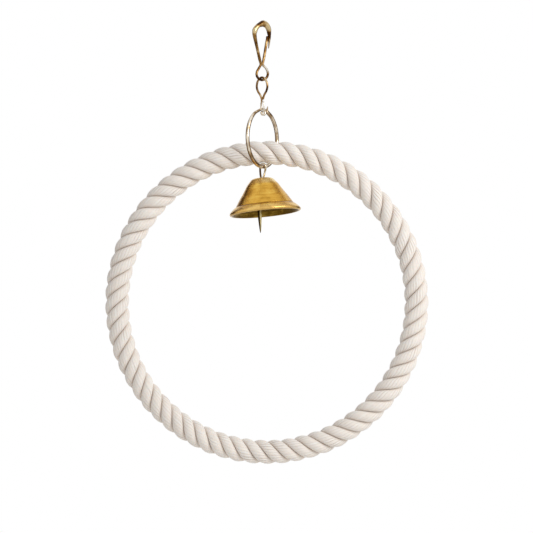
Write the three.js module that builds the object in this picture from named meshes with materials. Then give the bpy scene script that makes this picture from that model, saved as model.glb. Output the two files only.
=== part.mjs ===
// Bird rope swing: a cotton rope hoop that hangs from a cage bar, with a brass bell.
//
// Millimetres, +Z up. The origin is the inside of the snap hook's crown, the spot that rests on the
// cage bar. +X is to the right and -Y is towards someone who looks through the hoop.
//
// From the top down: a snap hook with a sprung gate, a figure-eight wire link, a wire ring with a
// hook-and-eye clasp, the rope hoop that lies in the ring, and a bell that hangs from the ring.

import * as THREE from 'three';

const DEGREE = Math.PI / 180;

// Running gap between two pieces that hang on each other
const CLEARANCE = 0.3;

// Rope hoop: three strands laid right-handed round a welded steel wire ring
const HOOP_INNER_DIAMETER = 254;
const ROPE_DIAMETER = 22;
const STRAND_COUNT = 3;
const LAY_TURNS = 21;
const LAY_START = 27.6 * DEGREE;
const LAY_DRIFT = 52.9 * DEGREE;
const LAY_DRIFT_FROM = 161.4 * DEGREE;
const GROOVE_DEPTH = 3.4;
const BACK_ROUNDNESS = 2.4;
const STRAND_BACK = [-1, -0.56, 0, 0.56, 1];
const STRAND_GAP = 0.4;
const BUTT_GAP = 0.4;
const STEPS_PER_TURN = 8;
const CORE_WIRE_DIAMETER = 4;
const SEAT_LENGTH = 9;
const SEAT_RUN_OUT = 12;
const SEAT_HALF_ANGLE = 58 * DEGREE;

// Snap hook
const HOOK_YAW = 40 * DEGREE;
const HOOK_WIDTH = 20;
const HOOK_BOW_LENGTH = 34.3;
const HOOK_CROWN_THICKNESS = 6;
const HOOK_CROWN_DEPTH = 4.8;
const HOOK_ARM_THICKNESS = 2.9;
const HOOK_EYE_WIRE = 2.3;
const HOOK_EYE_WIDTH = 13.4;
const HOOK_EYE_LENGTH = 14.4;
const HOOK_EYE_END_DROP = 0.6;
const HOOK_NOSE_LENGTH = 19.2;
const GATE_WIRE = 2.5;

// Figure-eight link
const LINK_YAW = -45 * DEGREE;
const LINK_TWIST = -21 * DEGREE;
const LINK_WIRE = 2;
const LINK_TIP_WIRE = 1.7;
const LINK_UPPER_EYE_LENGTH = 18.6;
const LINK_UPPER_EYE_WIDTH = 13.8;
const LINK_NECK_LENGTH = 2;
const LINK_LOWER_EYE_LENGTH = 11.2;
const LINK_LOWER_EYE_WIDTH = 6.6;

// Wire ring that carries the hoop and the bell
const RING_YAW = 59 * DEGREE;
const RING_OUTER_DIAMETER = 56.2;
const RING_WIRE = 3.6;
const RING_OFFSET = 1.6;
const RING_EYE_WIRE = 2.2;
const RING_EYE_LENGTH = 9;
const RING_EYE_INSET = 1.8;
const RING_SPIKE_HEIGHT = 6.2;

// Bell, its wire hanger and its clapper
const BELL_RIM_DIAMETER = 66;
const BELL_HEIGHT = 32.6;
const BELL_WALL = 1.2;
const BELL_LEAN_RIGHT = 4.4 * DEGREE;
const BELL_LEAN_FORWARD = 5.5 * DEGREE;
const BELL_HOLE_DIAMETER = 6.4;
const HANGER_WIRE = 1.8;
const HANGER_LENGTH = 10.5;
const HANGER_SHIFT = new THREE.Vector2(-1.2, 1.6);
const HANGER_LEG_SPACING = 2;
const HANGER_EYE_WIDTH = 5.4;
const HANGER_EYE_LENGTH = 5.4;
const HANGER_EYE_OFFSET = -2.9;
const CLAPPER_LENGTH = 42.7;
const CLAPPER_CORNER_WIDTH = 3.9;
const CLAPPER_EYE_WIRE = 1.5;
const CLAPPER_LEAN = -1.3 * DEGREE;
const CLAPPER_TWIST = 31 * DEGREE;

// Colours and finishes
const HOOK_BRASS = { color: 0x9c7442, roughness: 0.3, metalness: 1 };
const RING_METAL = { color: 0xb59c78, roughness: 0.18, metalness: 1 };
const BELL_BRASS = { color: 0xc8983a, roughness: 0.32, metalness: 1 };
const CLAPPER_METAL = { color: 0x8e7a44, roughness: 0.35, metalness: 1 };
const COTTON = { color: 0xe3dccf, roughness: 0.95, metalness: 0 };
const STEEL = { color: 0x8d9094, roughness: 0.4, metalness: 1 };

// Mesh helpers

// Joins a row of sections, each with the same number of points, into one closed body.
// leansBack(k) says which way the side between points k and k + 1 is split into triangles.
function loft(sections, { closed = false, leansBack = () => false } = {}) {
  const sides = sections[0].length;
  const positions = sections.flat().flatMap((point) => point.toArray());
  const spans = closed ? sections.length : sections.length - 1;
  const index = [];
  for (let i = 0; i < spans; i += 1) {
    const near = i * sides;
    const far = ((i + 1) % sections.length) * sides;
    for (let k = 0; k < sides; k += 1) {
      const next = (k + 1) % sides;
      if (leansBack(k)) {
        index.push(near + k, near + next, far + k, near + next, far + next, far + k);
      } else {
        index.push(near + k, near + next, far + next, near + k, far + next, far + k);
      }
    }
  }
  if (!closed) {
    const last = (sections.length - 1) * sides;
    for (let k = 1; k < sides - 1; k += 1) {
      index.push(0, k + 1, k);
      index.push(last, last + k, last + k + 1);
    }
  }
  const geometry = new THREE.BufferGeometry();
  geometry.setAttribute('position', new THREE.Float32BufferAttribute(positions, 3));
  geometry.setIndex(index);
  geometry.computeVertexNormals();
  return geometry;
}

// Samples a wire between its knots. A knot is { at, across, depth, normal }: the centre, the half
// thickness in the plane of the bend and square to it, and that plane's normal.
function sampleWire(knots, stepsPerKnot, closed = false) {
  const curve = (pick) => new THREE.CatmullRomCurve3(knots.map(pick), closed, 'catmullrom', 0.5);
  const centres = curve((knot) => knot.at);
  const sizes = curve((knot) => new THREE.Vector3(knot.across, knot.depth, 0));
  const normals = curve((knot) => knot.normal);
  const count = (closed ? knots.length : knots.length - 1) * stepsPerKnot;
  const stations = [];
  for (let i = 0; i < (closed ? count : count + 1); i += 1) {
    const t = i / count;
    const size = sizes.getPoint(t);
    stations.push({
      at: centres.getPoint(t),
      tangent: centres.getTangent(t),
      across: size.x,
      depth: size.y,
      normal: normals.getPoint(t),
    });
  }
  return stations;
}

// Sweeps an oval section with the given number of sides along the stations of a wire.
function wireGeometry(stations, sides, closed = false) {
  const sections = stations.map(({ at, tangent, across, depth, normal }) => {
    const outward = new THREE.Vector3().crossVectors(normal, tangent).normalize();
    const square = new THREE.Vector3().crossVectors(tangent, outward).normalize();
    return Array.from({ length: sides }, (unused, k) => {
      const angle = (2 * Math.PI * k) / sides;
      return at.clone()
        .addScaledVector(outward, across * Math.cos(angle))
        .addScaledVector(square, depth * Math.sin(angle));
    });
  });
  return loft(sections, { closed });
}

// How far the two sections of a round end reach out, as shares of the wire's half thickness
const ROUND_SHOULDER = 0.5;
const ROUND_END = 0.87;

// Rounds off a wire's free end: the stations that close it over half its own thickness.
function roundedEnd(station, direction) {
  return [ROUND_SHOULDER, ROUND_END].map((share) => {
    const shrink = Math.sqrt(1 - share * share);
    return {
      ...station,
      at: station.at.clone().addScaledVector(direction, share * Math.min(station.across, station.depth)),
      across: station.across * shrink,
      depth: station.depth * shrink,
    };
  });
}

// Closes both free ends of an open wire with round ends.
function withRoundEnds(stations) {
  const first = stations[0];
  const last = stations[stations.length - 1];
  const head = roundedEnd(first, first.tangent.clone().negate()).reverse();
  const tail = roundedEnd(last, last.tangent);
  return [...head, ...stations, ...tail];
}

// A point of an upright plane that is turned about Z by yaw: u along the plane, z up.
function inPlane(yaw, u, z) {
  return new THREE.Vector3(u * Math.cos(yaw), u * Math.sin(yaw), z);
}

function planeNormal(yaw) {
  return new THREE.Vector3(-Math.sin(yaw), Math.cos(yaw), 0);
}

function knot(yaw, u, z, across, depth = across) {
  return { at: inPlane(yaw, u, z), across, depth, normal: planeNormal(yaw) };
}

function namedMesh(name, geometry, finish) {
  const mesh = new THREE.Mesh(geometry, new THREE.MeshStandardMaterial(finish));
  mesh.name = name;
  return mesh;
}

// Places that the pieces share, from the bar down

const hookEyeRadius = HOOK_EYE_WIRE / 2;
const linkRadius = LINK_WIRE / 2;
const linkTipRadius = LINK_TIP_WIRE / 2;
const ringRadius = RING_WIRE / 2;
const ringEyeRadius = RING_EYE_WIRE / 2;
const hangerRadius = HANGER_WIRE / 2;
const ropeRadius = ROPE_DIAMETER / 2;

const waistZ = -HOOK_BOW_LENGTH;
const hookEndZ = waistZ - HOOK_EYE_END_DROP;
const hookEyeBottomZ = waistZ - HOOK_EYE_LENGTH;
const linkTopZ = hookEyeBottomZ + hookEyeRadius + CLEARANCE + linkRadius;
const linkNeckTopZ = linkTopZ - LINK_UPPER_EYE_LENGTH;
const linkNeckBottomZ = linkNeckTopZ - LINK_NECK_LENGTH;
const linkBottomZ = linkNeckBottomZ - LINK_LOWER_EYE_LENGTH;
const ringBendRadius = (RING_OUTER_DIAMETER - RING_WIRE) / 2;
const ringCentreZ = linkBottomZ + RING_EYE_INSET - ringBendRadius;
const ringLowestZ = ringCentreZ - ringBendRadius;
const ropeUndersideZ = ringLowestZ + ringRadius + CLEARANCE;
const hoopRadius = HOOP_INNER_DIAMETER / 2 + ropeRadius;
const hoopCentreZ = ropeUndersideZ - HOOP_INNER_DIAMETER / 2;

// Snap hook

// The hook is one wire: from the tip of its nose over the crown, down the left arm to the waist, and
// round the eye back up to the waist, where the gate begins.
function snapHook() {
  const arm = HOOK_ARM_THICKNESS / 2;
  const crown = HOOK_CROWN_THICKNESS / 2;
  const crownDepth = HOOK_CROWN_DEPTH / 2;
  const half = HOOK_WIDTH / 2;
  const eye = HOOK_EYE_WIDTH / 2;
  const waistGap = (HOOK_EYE_WIRE + GATE_WIRE) / 4 + CLEARANCE / 2;
  const at = (u, z, across, depth) => knot(HOOK_YAW, u, z, across, depth);
  const eyeAt = (u, share) => at(u * eye, waistZ - share * HOOK_EYE_LENGTH, hookEyeRadius);
  const knots = [
    at(0.89 * half, -HOOK_NOSE_LENGTH, 0.28, 0.4),
    at(0.95 * half, -0.81 * HOOK_NOSE_LENGTH, 0.65, 0.8),
    at(0.99 * half, -0.65 * HOOK_NOSE_LENGTH, 0.95, 1.1),
    at(1.02 * half, -0.47 * HOOK_NOSE_LENGTH, 1.25, 1.5),
    at(0.99 * half, -0.28 * HOOK_NOSE_LENGTH, 1.9, 0.8 * crownDepth),
    at(0.93 * half, -0.47 * crown, 0.83 * crown, 0.96 * crownDepth),
    at(0.69 * half, 0.67 * crown, 0.95 * crown, crownDepth),
    at(0.31 * half, 1.1 * crown, crown, crownDepth),
    at(-0.28 * half, 0.65 * crown, 0.77 * crown, crownDepth),
    at(-0.65 * half, -0.73 * crown, 0.8 * crown, 0.96 * crownDepth),
    at(-0.76 * half, -0.22 * HOOK_BOW_LENGTH, 1.35 * arm, 0.75 * crownDepth),
    at(-0.56 * half, -0.48 * HOOK_BOW_LENGTH, arm, arm),
    at(-0.39 * half, -0.67 * HOOK_BOW_LENGTH, 0.95 * arm, 0.95 * arm),
    at(-waistGap - 0.08 * half, -0.87 * HOOK_BOW_LENGTH, 0.95 * arm, 0.95 * arm),
    at(-waistGap + 0.3, waistZ, hookEyeRadius),
    eyeAt(-0.5, 0.24),
    eyeAt(-0.84, 0.46),
    eyeAt(-0.92, 0.68),
    eyeAt(-0.66, 0.88),
    eyeAt(0.02, 1),
    eyeAt(0.76, 0.87),
    eyeAt(1.07, 0.65),
    eyeAt(1.04, 0.45),
    eyeAt(0.74, 0.22),
    at(waistGap + 0.3, hookEndZ, hookEyeRadius),
  ];
  return namedMesh('snap_hook', wireGeometry(withRoundEnds(sampleWire(knots, 2)), 8), HOOK_BRASS);
}

// The gate is the wire's springy free arm. It leans against the inside of the nose.
function hookGate() {
  const half = HOOK_WIDTH / 2;
  const wire = GATE_WIRE / 2;
  const waistGap = (HOOK_EYE_WIRE + GATE_WIRE) / 4 + CLEARANCE / 2;
  const noseInside = half - 0.95 - CLEARANCE - wire;
  const rootZ = hookEndZ + ROUND_END * (hookEyeRadius + 0.9 * wire) + CLEARANCE;
  const at = (u, z, across) => knot(HOOK_YAW, u, z, across);
  const knots = [
    at(waistGap + 0.3, rootZ, 0.9 * wire),
    at(0.28 * half, -0.84 * HOOK_BOW_LENGTH, wire),
    at(0.4 * half, -0.71 * HOOK_BOW_LENGTH, wire),
    at(0.52 * half, -0.56 * HOOK_BOW_LENGTH, wire),
    at(0.65 * half, -0.4 * HOOK_BOW_LENGTH, wire),
    at(noseInside - 0.05, -0.31 * HOOK_BOW_LENGTH, wire),
    at(noseInside - 0.05, -0.262 * HOOK_BOW_LENGTH, 0.9 * wire),
  ];
  return namedMesh('hook_gate', wireGeometry(withRoundEnds(sampleWire(knots, 2)), 8), HOOK_BRASS);
}

// Figure-eight link

// One wire bent to a large upper eye and a small lower eye, with two runs side by side at the neck.
// The lower eye is turned from the upper one, and its wire's end stops short of the neck.
function connectorLink() {
  const wide = LINK_UPPER_EYE_WIDTH / 2;
  const narrow = LINK_LOWER_EYE_WIDTH / 2;
  const neck = linkRadius + CLEARANCE / 2 + 0.05;
  const at = (u, z, radius = linkRadius) => {
    const turned = THREE.MathUtils.clamp((linkNeckTopZ - z) / LINK_NECK_LENGTH, 0, 1);
    return knot(LINK_YAW + LINK_TWIST * turned, u, z, radius);
  };
  const upper = (u, share) => at(u * wide, linkTopZ - share * LINK_UPPER_EYE_LENGTH);
  const lower = (u, share) => at(u * narrow, linkNeckBottomZ - share * LINK_LOWER_EYE_LENGTH, linkTipRadius);
  const knots = [
    lower(0.66, 0.16),
    lower(0.96, 0.36),
    lower(1, 0.6),
    lower(0.78, 0.85),
    lower(0, 1),
    lower(-0.78, 0.85),
    lower(-1, 0.6),
    lower(-0.9, 0.36),
    lower(-0.52, 0.12),
    at(-neck, (linkNeckTopZ + linkNeckBottomZ) / 2),
    upper(-0.38, 0.87),
    upper(-0.8, 0.68),
    upper(-1, 0.46),
    upper(-0.86, 0.22),
    upper(-0.46, 0.06),
    upper(0, 0),
    upper(0.46, 0.06),
    upper(0.86, 0.22),
    upper(1, 0.46),
    upper(0.8, 0.68),
    upper(0.38, 0.87),
    at(neck, (linkNeckTopZ + linkNeckBottomZ) / 2),
  ];
  return namedMesh('connector_link', wireGeometry(withRoundEnds(sampleWire(knots, 2)), 8), HOOK_BRASS);
}

// Hanging ring

// An open wire circle. Its left end is drawn thin and curled to an oval eye that holds the link, and
// its right end stops beside that eye and turns up into a short spike.
function hangingRing() {
  const eyeZ = linkBottomZ;
  const hole = linkTipRadius + CLEARANCE + 0.25;
  const eyeHalfHeight = hole + ringEyeRadius;
  const eyeRight = RING_EYE_LENGTH / 2 + 0.9 - ringEyeRadius;
  const eyeLeft = -RING_EYE_LENGTH / 2 + 1.1 + ringEyeRadius;
  const at = (u, z, radius) => knot(RING_YAW, u, z, radius);
  const onCircle = (angle, radius = ringRadius) => at(
    -RING_OFFSET + ringBendRadius * Math.sin(angle),
    ringCentreZ + ringBendRadius * Math.cos(angle),
    radius,
  );
  const claspU = eyeRight + ringEyeRadius + CLEARANCE + 1.35;
  const claspAngle = Math.asin((claspU + RING_OFFSET) / ringBendRadius);
  const claspZ = ringCentreZ + ringBendRadius * Math.cos(claspAngle);
  const knots = [
    at(eyeLeft - 0.3, eyeZ - 0.35 * eyeHalfHeight, ringEyeRadius),
    at(eyeLeft + 1.1, eyeZ - 0.96 * eyeHalfHeight, ringEyeRadius),
    at((eyeLeft + eyeRight) / 2 + 0.4, eyeZ - 1.02 * eyeHalfHeight, ringEyeRadius),
    at(eyeRight - 1, eyeZ - 0.93 * eyeHalfHeight, ringEyeRadius),
    at(eyeRight, eyeZ, ringEyeRadius),
    at(eyeRight - 1, eyeZ + 0.93 * eyeHalfHeight, ringEyeRadius),
    at((eyeLeft + eyeRight) / 2 + 0.4, eyeZ + 1.06 * eyeHalfHeight, ringEyeRadius),
    at(eyeLeft + 0.4, eyeZ + 1.16 * eyeHalfHeight, 1.1 * ringEyeRadius),
  ];
  const arcFrom = -9 * DEGREE;
  const arcTo = claspAngle - 2 * Math.PI;
  const arcKnots = 18;
  for (let i = 0; i <= arcKnots; i += 1) {
    const radius = THREE.MathUtils.lerp(1.2 * ringEyeRadius, ringRadius, Math.min(1, i / 3));
    knots.push(onCircle(THREE.MathUtils.lerp(arcFrom, arcTo + 3 * DEGREE, i / arcKnots), radius));
  }
  knots.push(at(claspU + 0.5, claspZ + 0.4, 0.72 * ringRadius));
  knots.push(at(claspU + 1.3, claspZ + 0.42 * RING_SPIKE_HEIGHT, 0.45 * ringRadius));
  knots.push(at(claspU + 2.4, claspZ + 0.8 * RING_SPIKE_HEIGHT, 0.16 * ringRadius));
  return namedMesh('hanging_ring', wireGeometry(withRoundEnds(sampleWire(knots, 2)), 8), RING_METAL);
}

// Rope hoop

// How far a strand has turned round the rope at an angle of the hoop. The angle is zero at the right
// and grows over the top; a turn of zero faces outward, and a quarter turn faces the viewer.
function strandTurn(angle, strand) {
  const laid = LAY_START - LAY_TURNS * angle + LAY_DRIFT * Math.cos(angle - LAY_DRIFT_FROM);
  return laid + (strand * 2 * Math.PI) / STRAND_COUNT;
}

function wrapped(angle) {
  return Math.atan2(Math.sin(angle), Math.cos(angle));
}

// The rope is pressed flat where the ring and the bell's hanger bear on its underside.
function pressedRadius(angle, turn) {
  const fromTop = wrapped(angle - Math.PI / 2) * hoopRadius;
  const along = Math.abs(fromTop - RING_OFFSET * Math.cos(RING_YAW));
  const fromUnderside = Math.abs(wrapped(turn - Math.PI));
  const lengthwise = 1 - THREE.MathUtils.smoothstep(along, SEAT_LENGTH / 2, SEAT_LENGTH / 2 + SEAT_RUN_OUT);
  const around = 1 - THREE.MathUtils.smoothstep(fromUnderside, SEAT_HALF_ANGLE, 1.5 * SEAT_HALF_ANGLE);
  return ropeRadius - (HANGER_WIRE + CLEARANCE) * lengthwise * around;
}

// One strand's outline square to the rope: a rounded back, and two flat cheeks against its
// neighbours that end short of the core wire.
function strandSection(angle, strand) {
  const middle = strandTurn(angle, strand);
  const halfShare = Math.PI / STRAND_COUNT;
  const coreSpace = (CORE_WIRE_DIAMETER / 2 + CLEARANCE) / Math.cos(halfShare / 2);
  const outline = [];
  for (const share of STRAND_BACK) {
    const back = ropeRadius - GROOVE_DEPTH * Math.abs(share) ** BACK_ROUNDNESS;
    const reach = Math.min(back, pressedRadius(angle, middle + share * halfShare));
    const trim = Math.asin(STRAND_GAP / 2 / reach);
    outline.push([reach, share * (halfShare - trim)]);
  }
  const cheekTrim = Math.asin(STRAND_GAP / 2 / coreSpace);
  outline.push([coreSpace, halfShare - cheekTrim], [coreSpace, 0], [coreSpace, cheekTrim - halfShare]);
  const outward = new THREE.Vector3(Math.cos(angle), 0, Math.sin(angle));
  const forward = new THREE.Vector3(0, -1, 0);
  return outline.map(([reach, offset]) => new THREE.Vector3(0, 0, hoopCentreZ)
    .addScaledVector(outward, hoopRadius + reach * Math.cos(middle + offset))
    .addScaledVector(forward, reach * Math.sin(middle + offset)));
}

function ropeStrand(strand) {
  const steps = STEPS_PER_TURN * LAY_TURNS;
  const buttGap = BUTT_GAP / hoopRadius;
  const sections = [];
  for (let i = 0; i <= steps; i += 1) {
    const angle = Math.PI / 2 - buttGap / 2 - (2 * Math.PI - buttGap) * (i / steps);
    sections.push(strandSection(angle, strand));
  }
  const geometry = loft(sections, { leansBack: (k) => k < STRAND_BACK.length });
  return namedMesh(`rope_strand_${strand + 1}`, geometry, COTTON);
}

function hoopCoreWire() {
  const sides = 5;
  const segments = 72;
  const geometry = new THREE.TorusGeometry(hoopRadius, CORE_WIRE_DIAMETER / 2, sides, segments);
  const mesh = namedMesh('hoop_core_wire', geometry, STEEL);
  mesh.rotation.x = Math.PI / 2;
  mesh.position.z = hoopCentreZ;
  return mesh;
}

// Bell

// The bell hangs at the ring's lowest point. Its hanger leans a little from there to the crown.
const ringLowest = inPlane(RING_YAW, -RING_OFFSET, ringLowestZ);
const crownTop = new THREE.Vector3(
  ringLowest.x + HANGER_SHIFT.x,
  ringLowest.y + HANGER_SHIFT.y,
  ringLowest.z - HANGER_LENGTH,
);

// A spun shell, drawn from its crown hole down the outside to the rim and back up the inside.
function bellShell() {
  const rim = BELL_RIM_DIAMETER / 2;
  const wall = BELL_WALL;
  const hole = BELL_HOLE_DIAMETER / 2;
  const outside = [
    [hole, 0],
    [0.17 * rim, 0.2 * wall],
    [0.25 * rim, -0.1 * wall],
    [0.31 * rim, -0.035 * BELL_HEIGHT],
    [0.375 * rim, -0.105 * BELL_HEIGHT],
    [0.445 * rim, -0.19 * BELL_HEIGHT],
    [0.51 * rim, -0.295 * BELL_HEIGHT],
    [0.58 * rim, -0.405 * BELL_HEIGHT],
    [0.66 * rim, -0.52 * BELL_HEIGHT],
    [0.73 * rim, -0.632 * BELL_HEIGHT],
    [0.797 * rim, -0.74 * BELL_HEIGHT],
    [0.812 * rim, -0.77 * BELL_HEIGHT],
    [0.862 * rim, -0.8 * BELL_HEIGHT],
    [0.925 * rim, -0.855 * BELL_HEIGHT],
    [0.98 * rim, -0.91 * BELL_HEIGHT],
    [rim, -0.95 * BELL_HEIGHT],
    [0.99 * rim, -0.985 * BELL_HEIGHT],
    [0.965 * rim, -BELL_HEIGHT],
  ];
  const inside = [
    [0.965 * rim - wall, -0.985 * BELL_HEIGHT],
    [0.92 * rim - wall, -0.87 * BELL_HEIGHT],
    [0.8 * rim - wall, -0.77 * BELL_HEIGHT],
    [0.65 * rim - wall, -0.53 * BELL_HEIGHT],
    [0.5 * rim - wall, -0.3 * BELL_HEIGHT],
    [0.37 * rim - wall, -0.12 * BELL_HEIGHT - 0.5 * wall],
    [0.24 * rim - wall, -1.2 * wall],
    [hole, -wall],
  ];
  const loop = [...outside, ...inside, outside[0]].reverse();
  const profile = loop.map(([r, z]) => new THREE.Vector2(r, z));
  const geometry = new THREE.LatheGeometry(profile, 36);
  geometry.rotateX(Math.PI / 2);
  const mesh = namedMesh('bell_shell', geometry, BELL_BRASS);
  mesh.rotation.set(-BELL_LEAN_FORWARD, -BELL_LEAN_RIGHT, 0);
  mesh.position.copy(crownTop);
  return mesh;
}

// The frame of the hanger: its plane is square to the ring's wire and points from the ring down
// to the crown.
function hangerPoint(u, drop) {
  const down = crownTop.clone().sub(ringLowest).normalize();
  const sideways = planeNormal(RING_YAW).negate();
  const across = sideways.addScaledVector(down, -sideways.dot(down)).normalize();
  return ringLowest.clone().addScaledVector(across, u).addScaledVector(down, drop);
}

const hangerNormal = new THREE.Vector3()
  .subVectors(hangerPoint(1, 0), ringLowest)
  .cross(crownTop.clone().sub(ringLowest))
  .normalize();
const hangerSpan = crownTop.distanceTo(ringLowest);
const innerEyeTop = hangerSpan + BELL_WALL + 2 * CLEARANCE + hangerRadius;
const innerEyeBottom = innerEyeTop + HANGER_EYE_LENGTH;

// One closed wire: a bow over the ring's wire, two legs through the crown, and an eye inside.
function bellHanger() {
  const bow = ringRadius + CLEARANCE + hangerRadius;
  const leg = HANGER_LEG_SPACING / 2;
  const eye = HANGER_EYE_WIDTH / 2;
  const at = (u, drop) => ({
    at: hangerPoint(u, drop),
    across: hangerRadius,
    depth: hangerRadius,
    normal: hangerNormal,
  });
  const knots = [];
  for (let i = 0; i <= 6; i += 1) {
    const angle = (Math.PI * i) / 6;
    knots.push(at(bow * Math.cos(angle), -bow * Math.sin(angle)));
  }
  const middle = HANGER_EYE_OFFSET;
  knots.push(
    at(-0.9 * bow, 0.3 * hangerSpan),
    at(-0.5 * (bow + leg), 0.66 * hangerSpan),
    at(-leg, hangerSpan),
    at(-leg, innerEyeTop - hangerRadius),
    at(middle - 0.75 * eye, innerEyeTop + 0.42 * HANGER_EYE_LENGTH),
    at(middle - eye, innerEyeTop + 0.64 * HANGER_EYE_LENGTH),
    at(middle - 0.7 * eye, innerEyeTop + 0.9 * HANGER_EYE_LENGTH),
    at(middle, innerEyeBottom),
    at(middle + 0.7 * eye, innerEyeTop + 0.87 * HANGER_EYE_LENGTH),
    at(middle + eye, innerEyeTop + 0.55 * HANGER_EYE_LENGTH),
    at(0.5 * (middle + eye + leg) + 0.3, innerEyeTop + 0.2 * HANGER_EYE_LENGTH),
    at(leg, innerEyeTop - hangerRadius),
    at(leg, hangerSpan),
    at(0.5 * (bow + leg), 0.66 * hangerSpan),
    at(0.9 * bow, 0.3 * hangerSpan),
  );
  return namedMesh('bell_hanger', wireGeometry(sampleWire(knots, 2, true), 6, true), RING_METAL);
}

// A square tapered pin, drawn thin at the top and rolled to an eye on the hanger's inner eye. Below
// the eye it is twisted, so that one of its corners faces the viewer.
function bellClapper() {
  const pivot = hangerPoint(HANGER_EYE_OFFSET, innerEyeBottom);
  const along = inPlane(RING_YAW, 1, 0);
  const down = new THREE.Vector3(-Math.sin(CLAPPER_LEAN), 0, -Math.cos(CLAPPER_LEAN));
  const eyeWire = CLAPPER_EYE_WIRE / 2;
  const roll = hangerRadius + CLEARANCE + 0.1 + eyeWire;
  const corner = CLAPPER_CORNER_WIDTH / 2;
  const eyeNormal = new THREE.Vector3().crossVectors(along, down).normalize();
  const at = (u, drop, half, twist = 0) => ({
    at: pivot.clone().addScaledVector(along, u).addScaledVector(down, drop),
    across: half,
    depth: half,
    normal: eyeNormal.clone().applyAxisAngle(down, -twist),
  });
  const knots = [];
  for (const angle of [70, 125, 180, 235, 290].map((degrees) => degrees * DEGREE)) {
    knots.push(at(roll * Math.sin(angle), roll * Math.cos(angle), eyeWire));
  }
  knots.push(
    at(-0.35 * roll, 1.75 * roll, 1.1 * eyeWire),
    at(0, roll + 6, 0.62 * corner, 0.5 * CLAPPER_TWIST),
    at(0, 0.33 * CLAPPER_LENGTH, 0.9 * corner, CLAPPER_TWIST),
    at(0, 0.58 * CLAPPER_LENGTH, corner, CLAPPER_TWIST),
    at(0, 0.8 * CLAPPER_LENGTH, 0.66 * corner, CLAPPER_TWIST),
    at(0, 0.94 * CLAPPER_LENGTH, 0.36 * corner, CLAPPER_TWIST),
    at(0, CLAPPER_LENGTH, 0.1 * corner, CLAPPER_TWIST),
  );
  return namedMesh('bell_clapper', wireGeometry(sampleWire(knots, 2), 4), CLAPPER_METAL);
}

// The whole swing

const swing = new THREE.Group();
swing.add(snapHook(), hookGate(), connectorLink(), hangingRing(), hoopCoreWire());
for (let strand = 0; strand < STRAND_COUNT; strand += 1) {
  swing.add(ropeStrand(strand));
}
swing.add(bellShell(), bellHanger(), bellClapper());

export default swing;
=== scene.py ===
"""Bird rope swing: the looks of a cotton rope hoop that hangs from a cage bar with a brass bell.

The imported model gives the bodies, the joints and the box of every node. This script builds the
visible form of each piece over it, dresses it in its real finish, and sets up a plain studio.
Sizes are in millimetres until a mesh is made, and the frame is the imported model's: +Z up, +X to
the right and -Y towards someone who looks through the hoop.
"""

import logging
import math
import random
from dataclasses import dataclass
from enum import Enum
from typing import Iterable, Sequence

import bpy
import numpy as np
from mathutils import Matrix, Vector


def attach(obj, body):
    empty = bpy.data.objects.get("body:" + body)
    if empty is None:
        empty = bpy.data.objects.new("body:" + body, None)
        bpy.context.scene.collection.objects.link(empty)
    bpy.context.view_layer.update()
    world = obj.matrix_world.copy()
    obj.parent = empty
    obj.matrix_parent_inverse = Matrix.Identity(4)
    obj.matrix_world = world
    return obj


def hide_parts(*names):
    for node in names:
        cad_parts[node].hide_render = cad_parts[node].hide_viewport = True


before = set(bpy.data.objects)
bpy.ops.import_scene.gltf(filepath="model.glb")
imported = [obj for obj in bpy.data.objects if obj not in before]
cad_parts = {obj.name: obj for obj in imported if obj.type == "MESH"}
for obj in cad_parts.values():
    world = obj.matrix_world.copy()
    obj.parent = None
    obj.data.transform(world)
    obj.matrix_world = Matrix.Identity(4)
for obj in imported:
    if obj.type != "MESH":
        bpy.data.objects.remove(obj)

logging.basicConfig(level=logging.INFO, format="%(message)s")
log = logging.getLogger("bird_rope_swing")

MM = 0.001
CLEARANCE = 0.3

# The link's lower eye and the ring's curled eye are drawn 7 percent thinner than their nominal
# wire. At the full thickness these round wires cut into each other at both limits of the ring.
EYE_WIRE_SHARE = 0.93


class Body(Enum):
    """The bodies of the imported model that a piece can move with."""

    HOOK = "hook"
    GATE = "gate"
    LINK = "link"
    RING = "ring"
    HOOP = "hoop"
    BELL = "bell"
    CLAPPER = "clapper"


class Slot(Enum):
    """The record's material slots."""

    HOOK_BRASS = "hook_brass"
    LINK_BRASS = "link_brass"
    RING_METAL = "ring_metal"
    COTTON = "cotton"
    BELL_BRASS = "bell_brass"
    CLAPPER_METAL = "clapper_metal"


class Section(Enum):
    """The outline of a wire or pin across its length, by the power of its rounding."""

    ROUND = 2.0
    SQUARE = 1.12


class Kind(Enum):
    """The node types that the finishes and the world use."""

    ATTRIBUTE = "ShaderNodeAttribute"
    BACKGROUND = "ShaderNodeBackground"
    BUMP = "ShaderNodeBump"
    COMBINE = "ShaderNodeCombineXYZ"
    COORDINATES = "ShaderNodeTexCoord"
    LIGHT_PATH = "ShaderNodeLightPath"
    MAPPING = "ShaderNodeMapping"
    MATHS = "ShaderNodeMath"
    MIX = "ShaderNodeMix"
    MIX_SHADER = "ShaderNodeMixShader"
    NOISE = "ShaderNodeTexNoise"
    RAMP = "ShaderNodeValToRGB"
    RANGE = "ShaderNodeMapRange"
    SEPARATE = "ShaderNodeSeparateXYZ"
    WHITE_NOISE = "ShaderNodeTexWhiteNoise"
    WORLD_OUTPUT = "ShaderNodeOutputWorld"


# Colours and nodes


def linear(hex_colour: str) -> tuple[float, float, float, float]:
    """Turns an sRGB hex colour into the linear values that a shader takes.

    Args:
        hex_colour: The colour as "#rrggbb".

    Returns:
        Linear red, green and blue with an alpha of one.
    """
    channels = [int(hex_colour[i : i + 2], 16) / 255 for i in (1, 3, 5)]
    straight = [c / 12.92 if c <= 0.04045 else ((c + 0.055) / 1.055) ** 2.4 for c in channels]
    return (straight[0], straight[1], straight[2], 1.0)


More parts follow.
